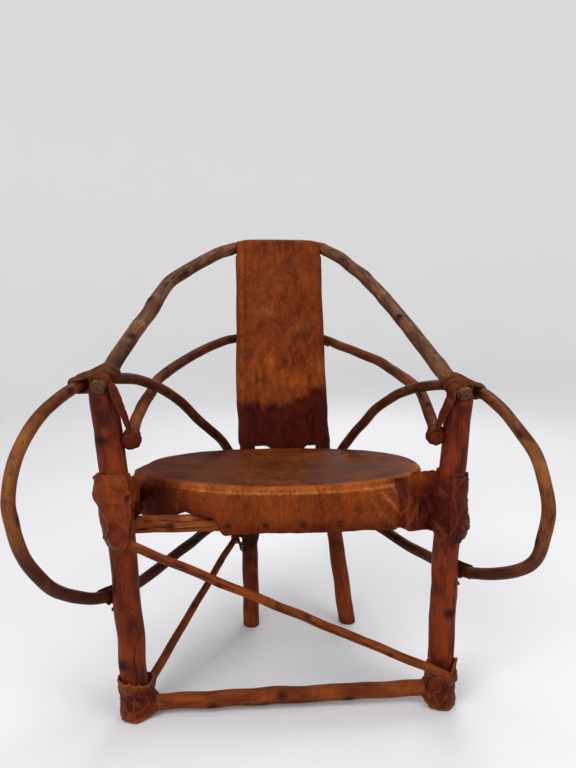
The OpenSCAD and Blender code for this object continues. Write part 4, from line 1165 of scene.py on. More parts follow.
def along(p):
    """x, n and h of points near the back."""
    q = np.asarray(p, float) - [0, base_y, 0]
    return q[..., 0], q @ back_out, q @ back_way


def pole_x(side, h):
    """The pole's x at the distance h along it."""
    x, _, at = along(poles[side][:, :3])
    return np.interp(h, at, x)


_, panel_n, panel_h = along([v.co[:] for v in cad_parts["back_panel"].data.vertices])
panel_out, panel_low, panel_top = -panel_n.min(), panel_h.min(), panel_h.max()
bow_h = along(np.mean([middle_of("bow_tie_" + side) for side, _ in SIDES], 0))[2]
LIP, BEND, FACE = 9, 17, 75  # points across a lip, round a pole and over the face of the sleeve
HALF_GAP = 0.026  # half of what each pole's lip leaves open at the back, m
BOW_HOLE = 0.019  # half the height of the holes at the middle bow, m


def back_panel():
    """Each row of the sleeve runs from the left lip at the back round the front to the right lip;
    the rows go up the poles and over the crest bow."""
    crest_r = crest[len(crest) // 2, 3]
    fold = crest_r + 0.0018
    crest_h = panel_top - (crest_r + 0.0033)
    turn_h = pole_len - 0.022
    slot_top = pole_len - 0.050
    heights = list(np.linspace(panel_low, turn_h, 92)) + list(np.linspace(turn_h, crest_h, 9)[1:])
    heights += [crest_h + fold * math.sin(k / 9 * math.pi / 2) for k in range(1, 10)]
    lip, face = np.linspace(0, 1, LIP), np.linspace(0, 1, FACE)
    bend = math.pi / 2 + np.linspace(0, 1, BEND)[1:-1] * math.pi
    rows = []
    for h in heights:
        xl, xr = pole_x("left", min(h, pole_len)), pole_x("right", min(h, pole_len))
        half = (xr - xl) / 2
        slit = HALF_GAP + (half - HALF_GAP) * step(h, slot_top - 0.012, slot_top + 0.002)
        slit += 0.0012 * ripple([[h]], 0.05, 21)[0] * (slit < half - 0.001)
        n = panel_out + (fold - panel_out) * slope(h, turn_h, crest_h)
        if h > crest_h:
            n = math.sqrt(max(fold**2 - (h - crest_h) ** 2, 1e-8))
        rx = 0.0008 + (panel_out - 0.0008) * (1 - step(h, pole_len - 0.05, pole_len - 0.014))
        el, er = xl - (panel_out - rx), xr + (panel_out - rx)
        rows.append(np.vstack([
            np.stack([el + (xl + slit - el) * (1 - lip), np.full(LIP, n)], 1),
            np.stack([el + rx * np.cos(bend), n * np.sin(bend)], 1),
            np.stack([el + (er - el) * face, np.full(FACE, -n)], 1),
            np.stack([er + rx * np.cos(bend - math.pi), n * np.sin(bend - math.pi)], 1),
            np.stack([er + (xr - slit - er) * lip, np.full(LIP, n)], 1),
        ]))
    p = np.array(rows)
    cols = p.shape[1]
    x, n = p[..., 0], p[..., 1]
    h = np.array(heights)[:, None] * np.ones(cols)
    xl, xr = pole_x("left", h) - panel_out, pole_x("right", h) + panel_out
    from_left, from_right = x - xl, xr - x
    facing = np.clip(-n / panel_out, 0, 1)
    low = 1 - step(h, panel_low, panel_low + 0.03)
    high = step(h, turn_h - 0.03, crest_h)
    flat = np.stack([x, n, h], -1)
    corner = crease(np.stack([x + h * 0.8, h * 0.4], -1), 0.03, 25)
    out = (
        0.0011 * ripple(flat * [1, 1, 0.5], 0.07, 22)
        + 0.0006 * ripple(flat * [1, 1, 0.35], 0.025, 23)
        + 0.0012 * facing * bump(from_left, 0.006, 0.005)
        * (1 + 0.6 * ripple(h[..., None], 0.05, 24))
        - 0.0012 * facing * bump(from_left, 0.0165, 0.0028)
        + 0.0008 * facing * bump(from_right, 0.004, 0.003)
        + 0.0016 * corner * high * step(-from_right, -0.05, -0.01)
        + 0.0012 * crease(flat * [1, 1, 0.5], 0.03, 26) * low * facing
    )
    for at in (0.526, 0.532, 0.425, 0.435, 0.445, 0.456):  # the stitches' knots
        out = out + 0.0030 * spot_at(h, from_left, (at, 0.005), (0.003, 0.005)) * facing
    out = out * (1 - 0.75 * high)
    # the hem hangs lower than the CAD's, apart from two notches
    slits = 1.7 * (bump(x, -0.030, 0.020) + bump(x, 0.069, 0.012))
    wave = -0.0185 + 0.0006 * ripple(x[..., None], 0.03, 27) + 0.0085 * np.clip(slits, 0, 1)
    h2 = h + wave * facing * (1 - step(h, panel_low, panel_low + 0.05))
    narrow = 1 - 0.05 * (1 - step(h, panel_low + 0.03, panel_low + 0.07))
    centre = (xl + xr) / 2
    x = centre + (x - centre) * narrow
    side = unit(np.stack([np.gradient(n, axis=1), -np.gradient(x, axis=1)], -1))
    side = side * np.where((side * np.stack([x - centre, n], -1)).sum(-1) < 0, -1, 1)[..., None]
    x, n = x + side[..., 0] * out, n + side[..., 1] * out
    sag = np.interp(x, crest[:, 0], crest[:, 2]) - crest[:, 2].max()
    sag = sag - 0.0022 * (bump(from_left, 0, 0.014) + bump(from_right, 0, 0.014))
    h2 = h2 + sag * step(h, turn_h, crest_h)
    points = on_back(x, n, h2)
    z = points[..., 2]
    # the masks: a dark lower end, a golden patch above it and two rubbed spots
    border = 0.389 + 0.012 * step(x - centre, 0.0, 0.05)
    border = border + 0.004 * ripple(np.stack([x, h], -1), 0.04, 28)
    border = border + 0.003 * ripple(np.stack([x, h * 0.5], -1), 0.011, 34)
    border = border + 0.016 * step(x - centre, 0.030, 0.062)
    dark = most(
        0.97 * step(-z, -border - 0.011, -border + 0.007),
        0.7 * bump(from_right, 0.0, 0.0022) * facing,
        0.45 * high * crease(flat * [1, 1, 0.4], 0.03, 29),
        0.5 * (n > 0) + 0.35 * bump(from_left, 0.0165, 0.002) * facing,
    )
    streaks = cloudy(np.stack([x, h * 0.16], -1), 0.012, 30)
    pale = 0.70 * bump(z, 0.446, 0.056) * (0.30 + 0.70 * streaks) * (1 - dark)
    rubbed = np.zeros_like(x)
    for at, wide, is_rubbed in (
        ((-0.013, 0.560), (0.024, 0.010), 1), ((0.053, 0.531), (0.016, 0.010), 1),
        ((0.03, 0.61), (0.05, 0.03), 0),
    ):
        worn_spot = spot_at(x, z, at, wide) * facing
        pale = np.maximum(pale, 0.40 * worn_spot * cloudy(flat, 0.008, 31))
        rubbed = np.maximum(rubbed, worn_spot * is_rubbed * cloudy(flat, 0.006, 32))
    pale = most(
        pale, spot_at(x, z, (-0.006, 0.468), (0.012, 0.018)),
        0.16 * (0.4 + 0.6 * streaks) * (1 - dark),
        0.42 * facing * bump(from_left, 0.006, 0.0065) * (1 - 0.7 * dark),
    )
    seam = 0.20 * bump(from_left, 0.012, 0.0016) * facing * (1 - dark)
    ends = np.zeros_like(x)
    ends[:, [0, -1]] = 0.2
    ends[0, :] = np.maximum(ends[0, :], 0.15)
    raw = most(seam * cloudy(h[..., None], 0.05, 33), 0.27 * rubbed, ends)
    # the sleeve is open at the poles' tops, and at the back where the middle bow is tied
    bends = [range(e, e + BEND - 1) for e in (LIP - 1, LIP + BEND + FACE - 3)]
    keep = []
    for f in grid_faces(len(heights), cols, wrap=False):
        i, k = divmod(f[0], cols)
        if heights[i] > pole_len - 0.012 and any(k in b for b in bends):
            continue
        _, cn, ch = along(points.reshape(-1, 3)[list(f)].mean(0))
        if cn > 0.0 and abs(ch - bow_h) < BOW_HOLE and heights[i] < turn_h:
            continue
        keep.append(f[::-1])
    o = piece(
        "back_hide_sleeve", points.reshape(-1, 3), keep, "hide", ["back_panel"],
        np.stack([dark, pale, raw], -1).reshape(-1, 3), np.stack([x, n, h * 0.6], -1),
    )
    bm = bmesh.new()
    bm.from_mesh(o.data)
    bmesh.ops.delete(bm, geom=[v for v in bm.verts if not v.link_faces], context="VERTS")
    bmesh.ops.remove_doubles(bm, verts=bm.verts, dist=1.5e-4)
    bm.to_mesh(o.data)
    bm.free()
    thicken(o, BACK_SKIN)


back_panel()

# ---------------------------------------------------------------- cuffs
def sleeve(
    name, nodes, names, line, low, high, lift, paint, cols=150, thick=CUFF_SKIN, rise=0.0014,
    seed=1,
):
    """A leather cuff drawn tight round sticks; low, high, lift and paint follow the angle round."""
    a = np.linspace(0, TURN, cols, endpoint=False)
    lows, highs = low(a), high(a)
    levels = np.arange(max(lows.min() - 0.006, 0.0004), highs.max() + 0.008, 0.002)

    def middle_at(z):
        return np.stack([np.interp(z, line[:, 2], line[:, k]) for k in (0, 1)], -1)

    table = []
    for z in levels:
        p = np.array([*middle_at(z), z])
        cut = np.vstack([slice_at([n], p, UP, far) for n, far in names])
        table.append(np.linalg.norm(loop_round(cut, p, X, Y, cols), axis=1))
    table = np.array(table)
    table = most(table, np.roll(table, 1, 0), np.roll(table, -1, 0))
    for _ in range(6):
        table[1:-1] = (table[:-2] + 2 * table[1:-1] + table[2:]) / 4
        table = (np.roll(table, 1, 1) + 2 * table + np.roll(table, -1, 1)) / 4
    rows = int(round((highs - lows).max() / rise)) + 1
    v = np.linspace(0, 1, rows)[:, None]
    z = highs * (1 - v) + lows * v
    r = np.stack([np.interp(z[:, k], levels, table[:, k]) for k in range(cols)], 1)
    A = np.broadcast_to(a, z.shape)
    c = middle_at(z)
    spot = np.stack([np.cos(A) * 0.02, np.sin(A) * 0.02, z + seed], -1)
    r = r + 0.0003 + thick + np.maximum(lift(A, z, v, spot), -0.0006)
    p = np.stack([c[..., 0] + r * np.cos(A), c[..., 1] + r * np.sin(A), z], -1)
    mask = np.stack(np.broadcast_arrays(*paint(A, z, v, spot)), -1).reshape(-1, 3)
    faces = [f[::-1] for f in grid_faces(rows, cols)]
    o = piece(name, p.reshape(-1, 3), faces, "cuff_hide", nodes, mask, spot)
    faces_out(o, np.array([*middle_at(lows.mean()), (lows.mean() + highs.mean()) / 2]))
    thicken(o, thick)
    return o


def by_angle(pairs, *waves):
    """A smooth value round the circle from {angle in degrees: value}, with (height, size, seed)
    waves on it; -90 faces front."""
    at, value = np.array(list(pairs.items()), float).T

    def read(a):
        d = (np.degrees(a) + 180) % 360 - 180
        out = sum(np.interp(d + 3 * k, at, value, period=360) for k in range(-4, 5)) / 9
        for height, size, seed in waves:
            out = out + height * ripple(circle(a), size, seed)
        return out

    return read


def turned(A, degrees):
    """The angle from the given one, in degrees."""
    return (np.degrees(A) - degrees + 180) % 360 - 180


def around(A, degrees, wide):
    """1 at an angle round the post, falling away over the width in degrees."""
    return np.exp(-((turned(A, degrees) / wide) ** 2))


def lap_at(A, z):
    """How far round from the lapped edge, which runs up and to the right from the tip."""
    return np.radians(turned(A, np.interp(
        z, [0.243, 0.262, 0.290, 0.312, 0.345], [-84, -62, -38, -34, -40])))


def hole_at(A, z):
    """The distance from the left cuff's hole, 1 at its edge."""
    return np.hypot(turned(A, -42) / 16, (z - 0.312) / 0.0058)


POST_CUFF_LOW = {
    "left": {-180: 0.266, -150: 0.254, -115: 0.2485, -85: 0.243, -72: 0.247, -55: 0.262,
             -35: 0.285, -10: 0.294, 60: 0.292, 100: 0.252, 140: 0.256, 180: 0.266},
    "right": {-180: 0.262, -150: 0.248, -125: 0.2405, -100: 0.244, -70: 0.2405, -45: 0.243,
              -20: 0.248, 20: 0.252, 60: 0.250, 100: 0.250, 150: 0.282, 180: 0.262},
}
POST_CUFF_HIGH = {
    "left": {-180: 0.343, -140: 0.346, -100: 0.344, -60: 0.345, -20: 0.343, 40: 0.339,
             100: 0.342, 180: 0.343},
    "right": {-180: 0.342, -150: 0.340, -120: 0.333, -60: 0.332, -35: 0.333, -12: 0.338,
              10: 0.336, 40: 0.333, 100: 0.338, 180: 0.342},
}
FOOT_CUFF_LOW = {-180: 0.003, -90: 0.0015, 0: 0.0025, 90: 0.003, 180: 0.003}
FOOT_CUFF_HIGH = {
    "left": {-180: 0.056, -130: 0.060, -110: 0.057, -85: 0.058, -60: 0.054, -30: 0.049,
             20: 0.045, 60: 0.046, 120: 0.054, 180: 0.056},
    "right": {-180: 0.052, -130: 0.050, -105: 0.056, -80: 0.062, -50: 0.068, -25: 0.072,
              0: 0.064, 60: 0.060, 120: 0.055, 180: 0.052},
}


def post_cuff(side):
    left = side == "left"

    def wrinkled(spot):
        return crease(spot * [1, 1, 0.55], 0.024, 81 + left)

    def lift(A, z, v, spot):
        out = (
            0.0006 * (1 + ripple(spot * [1, 1, 0.7], 0.035, 85)) + 0.0013 * wrinkled(spot)
            + 0.0006 * crease(spot * [1, 1, 0.8], 0.011, 83 + left)
        )
        if left:
            lap, hole = lap_at(A, z), hole_at(A, z)
            out = (
                out * (1 - 0.7 * around(A, -10, 55))
                + 0.0058 * around(A, 185, 42) * bump(z, 0.314, 0.014)
                + 0.0022 * around(A, 225, 40) * bump(z, 0.312, 0.012)
                + 0.0026 * around(A, 190, 25) * bump(z, 0.339, 0.003)
                - 0.0022 * around(A, -95, 90) * bump(z, 0.302, 0.007)
                + 0.0032 * around(A, -140, 45) * bump(z, 0.285, 0.014)
                + 0.0028 * bump(lap, 0.0, 0.10) + 0.0022 * step(-lap, -0.05, 0.05)
                + 0.0030 * bump(hole, 1.0, 0.4) - 0.0034 * np.exp(-((hole / 0.6) ** 2))
                + 0.0012 * step(v, 0.9, 1.0) * around(A, -85, 35)
            )
        else:
            out = out + 0.0046 * around(A, -8, 30) * bump(z, 0.268, 0.020)
            ring = 0.003 * np.cos(A + 1.9)
            band = bump(z, 0.252 + ring, 0.0026) + bump(z, 0.259 + ring, 0.0026)
            out = (
                out * (1 - 0.7 * around(A, -165, 40))
                + 0.0010 * around(A, -20, 30) * bump(z, 0.312, 0.016)
                + 0.0034 * around(A, -10, 26) * bump(z, 0.337, 0.0045)
                + 0.0016 * creased(z, A * 0.012, 0.014, 88)
                + 0.0016 * band * around(A, -125, 60)
            )
        return out * (1 - 0.75 * step(-v, -0.08, 0.0))

    def paint(A, z, v, spot):
        patch = cloudy(spot, 0.05, 90 + left)
        if left:
            lap, hole = lap_at(A, z), hole_at(A, z)
            low = step(-z, -0.285, -0.250) * (1 - around(A, -95, 40) * 0.4)
            # the dark line beside the lapped edge is painted shade in the step under it
            dark = most(
                0.12 * patch + 0.55 * bump(lap, 0.12, 0.10) + 0.5 * low,
                0.8 * step(lap, 0.05, 0.2) * step(-z, -0.306, -0.292),
                0.7 * bump(lap, 0.10, 0.09),
                np.exp(-((hole / 0.75) ** 2)),
            )
            # painted highlights on the wrinkle ridges and on a ridge just under the top edge at the
            # front
            pale = most(
                0.65 * wrinkled(spot) * patch
                + 0.75 * bump(z, 0.332, 0.007) * around(A, -95, 50) * patch,
                0.45 * bump(z, 0.31, 0.02) * around(A, -110, 50) * patch,
                0.5 * bump(lap, 0.0, 0.05),
            )
        else:
            dark = 0.62 + 0.35 * patch - 0.35 * bump(z, 0.335, 0.012) * around(A, -110, 40)
            # painted highlights on the wrinkle ridges
            pale = 0.30 * wrinkled(spot)
        return dark, pale, 0.28 * step(v, 0.98, 1.0) + 0.15 * step(-v, -0.02, 0.0)

    ragged = 0.0012 if left else 0.0024
    o = sleeve(
        f"post_cuff_skin_{side}", ["post_cuff_" + side],
        [("front_post_stick_" + side, 0.040), ("front_seat_rail_bar", 0.037 if left else 0.041)]
        + [("long_brace_bar", 0.036)] * left, posts[side],
        by_angle(POST_CUFF_LOW[side], (ragged, 0.5, 91), (0.5 * ragged, 0.17, 92)),
        by_angle(POST_CUFF_HIGH[side], (0.0010, 0.5, 93), (0.0005, 0.17, 94)),
        lift, paint, seed=80 + left,
    )


def foot_cuff(side):
    left = side == "left"

    def crumpled(spot):
        return crease(spot * [1, 1, 0.7], 0.014, 107 + left)

    def lift(A, z, v, spot):
        return (
            0.0007 * (1 + ripple(spot, 0.03, 106 + left)) + 0.0013 * crumpled(spot)
            + 0.0012 * bump(z, 0.013, 0.006) + 0.0008 * bump(z, 0.046, 0.008)
            + 0.0006 * step(-v, -0.10, 0.0)
        )

    def paint(A, z, v, spot):
        dark = (0.85 if left else 0.6) * bump(z, 0.032, 0.017) * (0.5 + 0.5 * around(A, -85, 60))
        dark = dark + 0.30 * cloudy(spot, 0.018, 109)
        # painted highlights on the crumple ridges; the pale foot is wear
        pale = np.maximum(0.50 * crumpled(spot) + 0.30 * step(-z, -0.012, -0.004),
                          0.35 * bump(z, 0.050, 0.006))
        return dark, pale, 0.35 * step(-v, -0.05, -0.01) + 0.2 * step(v, 0.96, 1.0)

    names = [("front_post_stick_" + side, 0.035), ("foot_stretcher_bar", 0.030 if left else 0.027)]
    names.append(("short_brace_bar", 0.036) if left else ("long_brace_bar", 0.028))
    o = sleeve(
        f"foot_cuff_skin_{side}", ["foot_cuff_" + side], names, posts[side],
        by_angle(FOOT_CUFF_LOW, (0.0008, 0.3, 105)),
        by_angle(FOOT_CUFF_HIGH[side], (0.0014, 0.22, 101 + left), (0.0014, 0.09, 103)),
        lift, paint, cols=140, rise=0.0012, thick=FOOT_SKIN, seed=100 + left,
    )


for side, _ in SIDES:
    post_cuff(side)
    foot_cuff(side)

# ---------------------------------------------------------------- the bindings at the post tops
def arc(centre, e1, e2, radius, start, stop, count):
    """Points and outward directions on a round way about a centre; angles in degrees."""
    a = np.radians(np.linspace(start, stop, count))[:, None]
    out = np.cos(a) * e1 + np.sin(a) * e2
    return centre + out * radius, out


def even(parts, gap=0.002):
    """A line through parts of points with a direction each, spaced evenly and smoothed."""
    _, q = spline(np.vstack([np.hstack(part) for part in parts]), gap)
    return q[:, :3], unit(q[:, 3:])


def upright(e1, way):
    """The direction across e1 and a way that points up."""
    e2 = np.cross(e1, way)
    return e2 * (1 if e2[2] > 0 else -1)


def knob_cap(side, at, way, radius, size):
    """The hide folded over the middle bow's end; the rows are (wider, further out) in mm."""
    e1 = unit(np.cross(way, UP))
    e2 = np.cross(e1, way)
    ring = circle(np.linspace(0, TURN, 36, endpoint=False)) @ [e1, e2]
    rows = []
    for wide, out in ((2.6, -6.0), (3.0, -3.0), (3.0, 0.0), (1.8, 1.9), (-1.2, 2.9), (-5.0, 3.3)):
        r = radius + (wide if wide < 0 else wide * size) / 1000
        rows.append(at + way * out * size / 1000 + r * ring)
    points = np.array(rows)
    points += way * (0.0007 * ripple(points, 0.008, 130))[..., None]
    points += unit(points - at) * (0.0006 * ripple(points, 0.012, 131))[..., None]
    points = points.reshape(-1, 3)
    faces = grid_faces(len(rows), 36) + [tuple(range(len(points) - 36, len(points)))]
    mask = np.tile([0.55, 0.0, 0.0], (len(points), 1))
    o = piece(
        f"sling_strap_cap_{side}", points, faces, "cuff_hide", ["sling_strap_" + side], mask, points
    )
    faces_out(o, at)
    thicken(o, CAP_SKIN)


for side, out, crest_end, crest_in, bow_end, bow_in, cap, drop in (
    ("left", -1, crest[0], crest[4], middle[0], middle[2], 1.0,
     [[-0.004, -0.003, -0.006], [-0.006, -0.005, -0.014], [-0.004, -0.006, -0.022]]),
    ("right", 1, crest[-1], crest[-5], middle[-1], middle[-3], 0.5,
     [[0.007, -0.002, -0.001], [0.014, -0.002, -0.003], [0.019, -0.001, -0.007]]),
):
    way = unit(crest_in[:3] - crest_end[:3])
    start, crest_r = crest_end[:3], crest_end[3]
    sticks = ["crest_bow_stick", "arm_hoop_stick_" + side]
    binding, strap = ["crest_binding_" + side], ["sling_strap_" + side]
    aside = [out * 0.006, 0, -0.002]
    wound(
        f"crest_binding_wrap_{side}", sticks, start + way * 0.026 + aside, way, 4, 0.0062, 0.0080,
        0.0036, binding, reach=0.040, seed=120 + out, tilt=0.0012, pale=0.2, edge=0.1,
    )
    wound(
        f"crest_binding_cross_{side}", sticks, start + way * 0.030 + aside,
        unit(way + 0.45 * UP + [0.25 * out, 0, 0]), 2, 0.009, 0.0058, 0.0022, binding,
        reach=0.042, seed=122 + out, tilt=0.001, sink=-0.0026, pale=0.2, edge=0.1,
    )
    # the strap goes over the crest bow, down to the middle bow's end and round it
    e1 = unit(np.cross(way, UP)) * out
    e2 = upright(e1, way)
    over = arc(start + way * 0.0125, e1, e2, crest_r + 0.0026, -25, 172, 14)
    bow_at, bow_r = bow_end[:3], bow_end[3]
    bow_way = unit(bow_in[:3] - bow_at)
    f1 = unit(np.cross(bow_way, UP)) * out
    under = arc(bow_at + bow_way * 0.007, f1, upright(f1, bow_way), bow_r + 0.0042, 95, 300, 16)
    hang = np.array([over[0][-1] * (1 - k) + under[0][0] * k for k in (0.3, 0.55, 0.8)])
    hang += np.array([-out * 0.001, -0.0045, 0.0])
    hang_face = np.tile(unit([-out * 0.75, -0.65, 0.1]), (3, 1))
    line, face = even((over, (hang, hang_face), under))
    wide = np.interp(
        np.linspace(0, 1, len(line)), [0, 0.25, 0.42, 0.62, 0.72, 1.0],
        [0.011, 0.014, 0.0135, 0.0095, 0.009, 0.0075],
    )
    ribbon(
        f"sling_strap_strip_{side}", line, wide, 0.0028, face, "cuff_hide", strap, seed=124 + out,
        ragged=0.0006, cup=0.0008, edge=0.15, dark=0.56, wrinkle=0.0007, ease=0.006,
    )
    # a cuff wound on the middle bow's end, and the leather folded over its end
    wound(
        f"sling_strap_coil_{side}", ["middle_bow_stick"], bow_at + bow_way * 0.0135, bow_way,
        4, 0.0044, 0.0056, 0.0030, strap, reach=0.03, seed=126 + out, slot="cuff_hide",
        dark=0.6, tilt=0.0008, edge=0.05,
    )
    knob_cap(side, bow_at, -bow_way, bow_r, cap)
    # a loose black end of thong at the outside of the binding
    top = arc(start + way * 0.020, -e1, e2, crest_r + 0.0034, 60, -20, 6)
    tail = top[0][-1] + np.array(drop)
    line, face = even((top, (tail, np.tile(unit([out * 0.6, -0.75, 0.25]), (3, 1)))))
    ribbon(
        f"crest_binding_tail_{side}", line, np.linspace(0.008, 0.012, len(line)), 0.0018, face,
        "thong", binding, seed=128 + out, ragged=0.0010, cup=0.0012, edge=0.3, dark=0.55,
        wrinkle=0.0008, ease=0.005,
    )


# ---------------------------------------------------------------- the ties
def crossed(name, node, a, b, p, t1, t2, turns, pitch, wide=0.0040, seed=1):
    """A square lashing: thong wound both ways over the crossing of two sticks."""
    t1, t2 = unit(t1), unit(t2)
    t2 = t2 if t1 @ t2 >= 0 else -t2
    for part, axis, sink in (("under", t1 + t2, 0.0002), ("over", t1 - t2, -THONG * 0.85)):
        wound(
            f"{name}_{part}", [a, b], p, unit(axis), turns, pitch, wide, THONG, [node],
            reach=0.034, seed=seed + (part == "over"), sink=sink, tilt=0.0006,
        )


def hoop_tie(side, out, post, hoop):
    """Thong round the arm beside its post, drawn behind the post; the post's front stays bare."""
    fine = spline(hoops[side][:, :3], 0.002)[1]
    lowest = fine[: len(fine) // 2]
    z_tie = middle_of("hoop_tie_" + side)[2]
    post_x = np.interp(z_tie, posts[side][:, 2], posts[side][:, 0])
    off = np.abs(lowest[:, 0] - post_x - out * 0.0235) + np.abs(lowest[:, 2] - z_tie)
    beside = np.argmin(off)
    way = unit(lowest[min(len(lowest) - 1, beside + 4)] - lowest[beside])
    wound(
        f"hoop_tie_coil_{side}", [hoop], lowest[beside], way, 4, 0.0034, 0.0046, 0.0032,
        ["hoop_tie_" + side], reach=0.02, seed=140 + out, dark=0.6, tilt=0.0022,
    )
    for k, drop in enumerate((-0.012, -0.004, 0.004, 0.012)):
        q = np.array([post_x, posts[side][0, 1], z_tie]) + UP * drop
        outline = loop_round(slice_at([post, hoop], q, UP, 0.038), q, X, Y, 96)
        ring = np.arange(-3, 34) if out > 0 else np.arange(13, 52)
        flat = np.c_[outline[ring % 96], 0 * ring]
        face = unit(flat)
        tilt = 0.004 * np.sin(np.linspace(0, math.pi, len(ring)) * (1 if k % 2 else -1))
        ribbon(
            f"hoop_tie_back_{side}_{k + 1}", q + flat + tilt[:, None] * UP + face * 0.0015,
            0.0052, 0.0028, face, "thong", ["hoop_tie_" + side], seed=180 + 4 * out + k,
            edge=0.1, dark=0.5, wrinkle=0.0005, ease=0.004, across=6,
        )


LASHING_Z = 0.283  # height of the lashing of an arm to its back pole, m
RAIL_CROSSING = (0.137, 0.262)  # y and z where the back poles cross the rear rail, m
for side, out in SIDES:
    post, hoop = "front_post_stick_" + side, "arm_hoop_stick_" + side
    pole, bow = "rear_pole_stick_" + side, "middle_bow_stick"
    hoop_tie(side, out, post, hoop)
    pole_way = poles[side][-1, :3] - poles[side][0, :3]
    wound(
        f"hoop_heel_tie_wrap_{side}", [pole, hoop], middle_of("hoop_heel_tie_" + side),
        pole_way, 7, 0.0036, 0.0042, THONG, ["hoop_heel_tie_" + side], reach=0.036,
        seed=144 + out, tilt=0.0006,
    )
    at = middle_of("rear_lashing_" + side)
    wound(
        f"rear_lashing_wrap_{side}", [pole, hoop], [at[0], at[1] + 0.008, LASHING_Z], pole_way,
        4, 0.0040, 0.0044, THONG, ["rear_lashing_" + side], reach=0.036, seed=146 + out,
        tilt=0.0006,
    )
    y, z = RAIL_CROSSING
    crossed(
        f"rear_lashing_cross_{side}", "rear_lashing_" + side, pole, "rear_seat_rail_bar",
        [np.interp(z, poles[side][:, 2], poles[side][:, 0]), y, z], pole_way, X, 3, 0.0042,
        seed=148 + out,
    )
    crossed(
        f"bow_tie_cross_{side}", "bow_tie_" + side, pole, bow, middle_of("bow_tie_" + side),
        pole_way, X, 4, 0.0042, seed=150 + out, wide=0.0046,
    )
brace = straight("short_brace")
crossed(
    "brace_tie_cross", "brace_tie", "rear_pole_stick_left", "short_brace_bar",
    middle_of("brace_tie"), poles["left"][-1, :3] - poles["left"][0, :3],
    brace[1, :3] - brace[0, :3], 4, 0.0036, seed=152,
)

# ---------------------------------------------------------------- pegs and lacing
for k, at in enumerate(peg_x):
    line = np.array([
        [at, peg_lo[1] - 0.0006, rail_z, peg_r * 1.25],
        [at + 0.0002, peg_lo[1] + 0.006, rail_z, peg_r],
        [at, peg_hi[1], rail_z, peg_r * 0.8],
    ])
    stick(
        f"hide_peg_{k + 1}", line, "peg_wood", ["hide_pegs"], sides=16, gap=0.0012, seed=160 + k,
        uneven=0.08, wander=0.0001, ends=(0.0006, 0.0004),
    )


def lace(name, spans, seed):
    """A round thong laced from lip to lip of the open back."""
    off = panel_out + 0.0023
    lo, hi = box("back_lacing")
    points = []
    for k, h in enumerate(spans):
        x, inward = (lo[0] + 0.0016, 0.0035) if k % 2 == 0 else (hi[0] - 0.0016, -0.0035)
        points.append(on_back(x, off, h))
        points.append(on_back(x - inward, off - 0.0012, h + 0.0028))
    s, q = spline(points, 0.003)
    sag = 0.0006 * ripple(s[:, None], 0.06, seed)
    ribbon(
        name, q + sag[:, None] * back_way, 0.0038, 0.0026, np.tile(back_out, (len(q), 1)),
        "thong", ["back_lacing"], seed=seed, edge=0.3, wrinkle=0.0002, ease=0.006, across=6,
    )


lace("back_lacing_low", np.linspace(panel_low + 0.020, bow_h - 0.034, 9), 170)
lace("back_lacing_high", np.linspace(bow_h + 0.034, pole_len - 0.062, 5), 171)

# ---------------------------------------------------------------- camera and light
CAMERA_AT = (-0.0368, -0.8974, 0.5392)
CAMERA_PITCH, CAMERA_YAW = 6.0, 3.42  # degrees down and to the right
FOCAL_PIXELS, LONG_SIDE = 577.0, 768.0
cam = bpy.data.cameras.new("camera")
cam.sensor_width = 36.0
cam.lens = FOCAL_PIXELS * cam.sensor_width / LONG_SIDE
camera = bpy.data.objects.new("camera", cam)
camera.location = CAMERA_AT
camera.rotation_euler = (math.radians(90 - CAMERA_PITCH), 0, math.radians(-CAMERA_YAW))
bpy.context.scene.collection.objects.link(camera)
bpy.context.scene.camera = camera


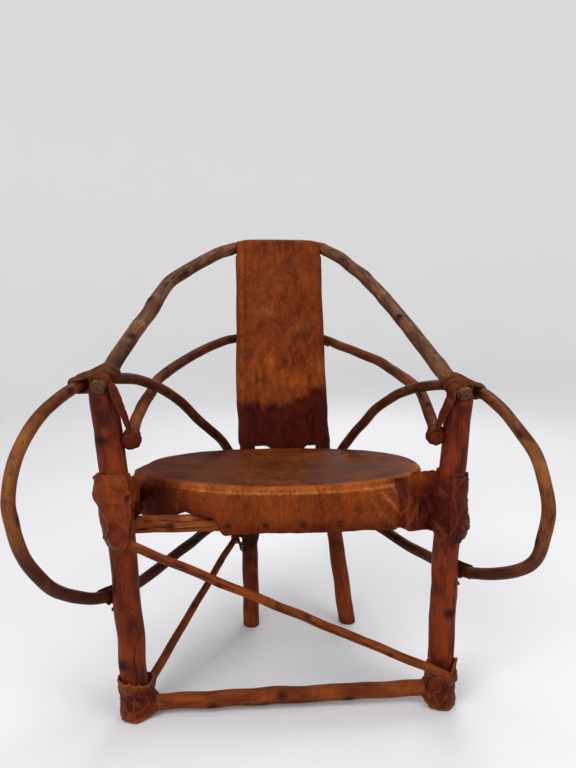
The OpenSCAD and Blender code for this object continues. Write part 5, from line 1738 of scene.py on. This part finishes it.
def studio():
    """A pale floor that turns up into a round backdrop, far behind every view."""
    turn = [k * math.pi / 24 for k in range(1, 13)]
    profile = [(0.001, 0.0), (1.5, 0.0), (3.0, 0.0)]
    profile += [(3.0 + 2.0 * math.sin(t), 2.0 - 2.0 * math.cos(t)) for t in turn]
    profile += [(5.0, 4.0)]
    n = 96
    points = [
        (r * math.cos(TURN * k / n), r * math.sin(TURN * k / n), z)
        for r, z in profile
        for k in range(n)
    ]
    mesh = bpy.data.meshes.new("floor_and_backdrop")
    mesh.from_pydata(points, [], grid_faces(len(profile), n) + [tuple(range(n))])
    mesh.shade_smooth()
    o = bpy.data.objects.new("floor_and_backdrop", mesh)
    bpy.context.scene.collection.objects.link(o)
    g = Graph("backdrop_looks")
    g.shader.inputs["Base Color"].default_value = (*srgb(226, 226, 228), 1)
    g.shader.inputs["Roughness"].default_value = 0.9
    g.shader.inputs["Specular IOR Level"].default_value = 0.1
    # the backdrop glows for the camera alone, so that it is as pale as the photograph's wall
    out = [math.hypot(x, y) for x, y, z in points]
    pale = np.interp(out, [1.5, 3.0, 4.2, 5.0], [0.0, 0.16, 0.23, 0.25])
    attribute(mesh, "pale", "FLOAT", "value", pale + 0.022 * np.array(points)[:, 2])
    seen = g.tree.nodes.new("ShaderNodeLightPath").outputs["Is Camera Ray"]
    g.set(g.shader.inputs["Emission Strength"], g.times(seen, g.attribute("pale", "Fac")))
    g.shader.inputs["Emission Color"].default_value = (*srgb(252, 250, 247), 1)
    mesh.materials.append(g.material)


studio()
LAMPS_LOOK_AT = Vector((0, 0, 0.35))
for name, at, size, power in (
    ("key_light", (-1.5, -1.9, 2.3), 1.6, 50.0),
    ("fill_light", (1.9, -1.6, 1.6), 1.8, 24.0),
    ("top_light", (0.2, 0.3, 3.0), 2.2, 34.0),
    ("back_light", (0.6, 2.2, 2.0), 1.8, 22.0),
):
    data = bpy.data.lights.new(name, "AREA")
    data.shape, data.size, data.energy = "DISK", size, power
    o = bpy.data.objects.new(name, data)
    o.location = at
    o.rotation_euler = (LAMPS_LOOK_AT - Vector(at)).to_track_quat("-Z", "Y").to_euler()
    bpy.context.scene.collection.objects.link(o)
world = bpy.data.worlds.new("world")
world.use_nodes = True
world.node_tree.nodes["Background"].inputs[0].default_value = (1, 1, 1, 1)
world.node_tree.nodes["Background"].inputs[1].default_value = 0.36
bpy.context.scene.world = world
bpy.context.scene.view_settings.view_transform = "Standard"
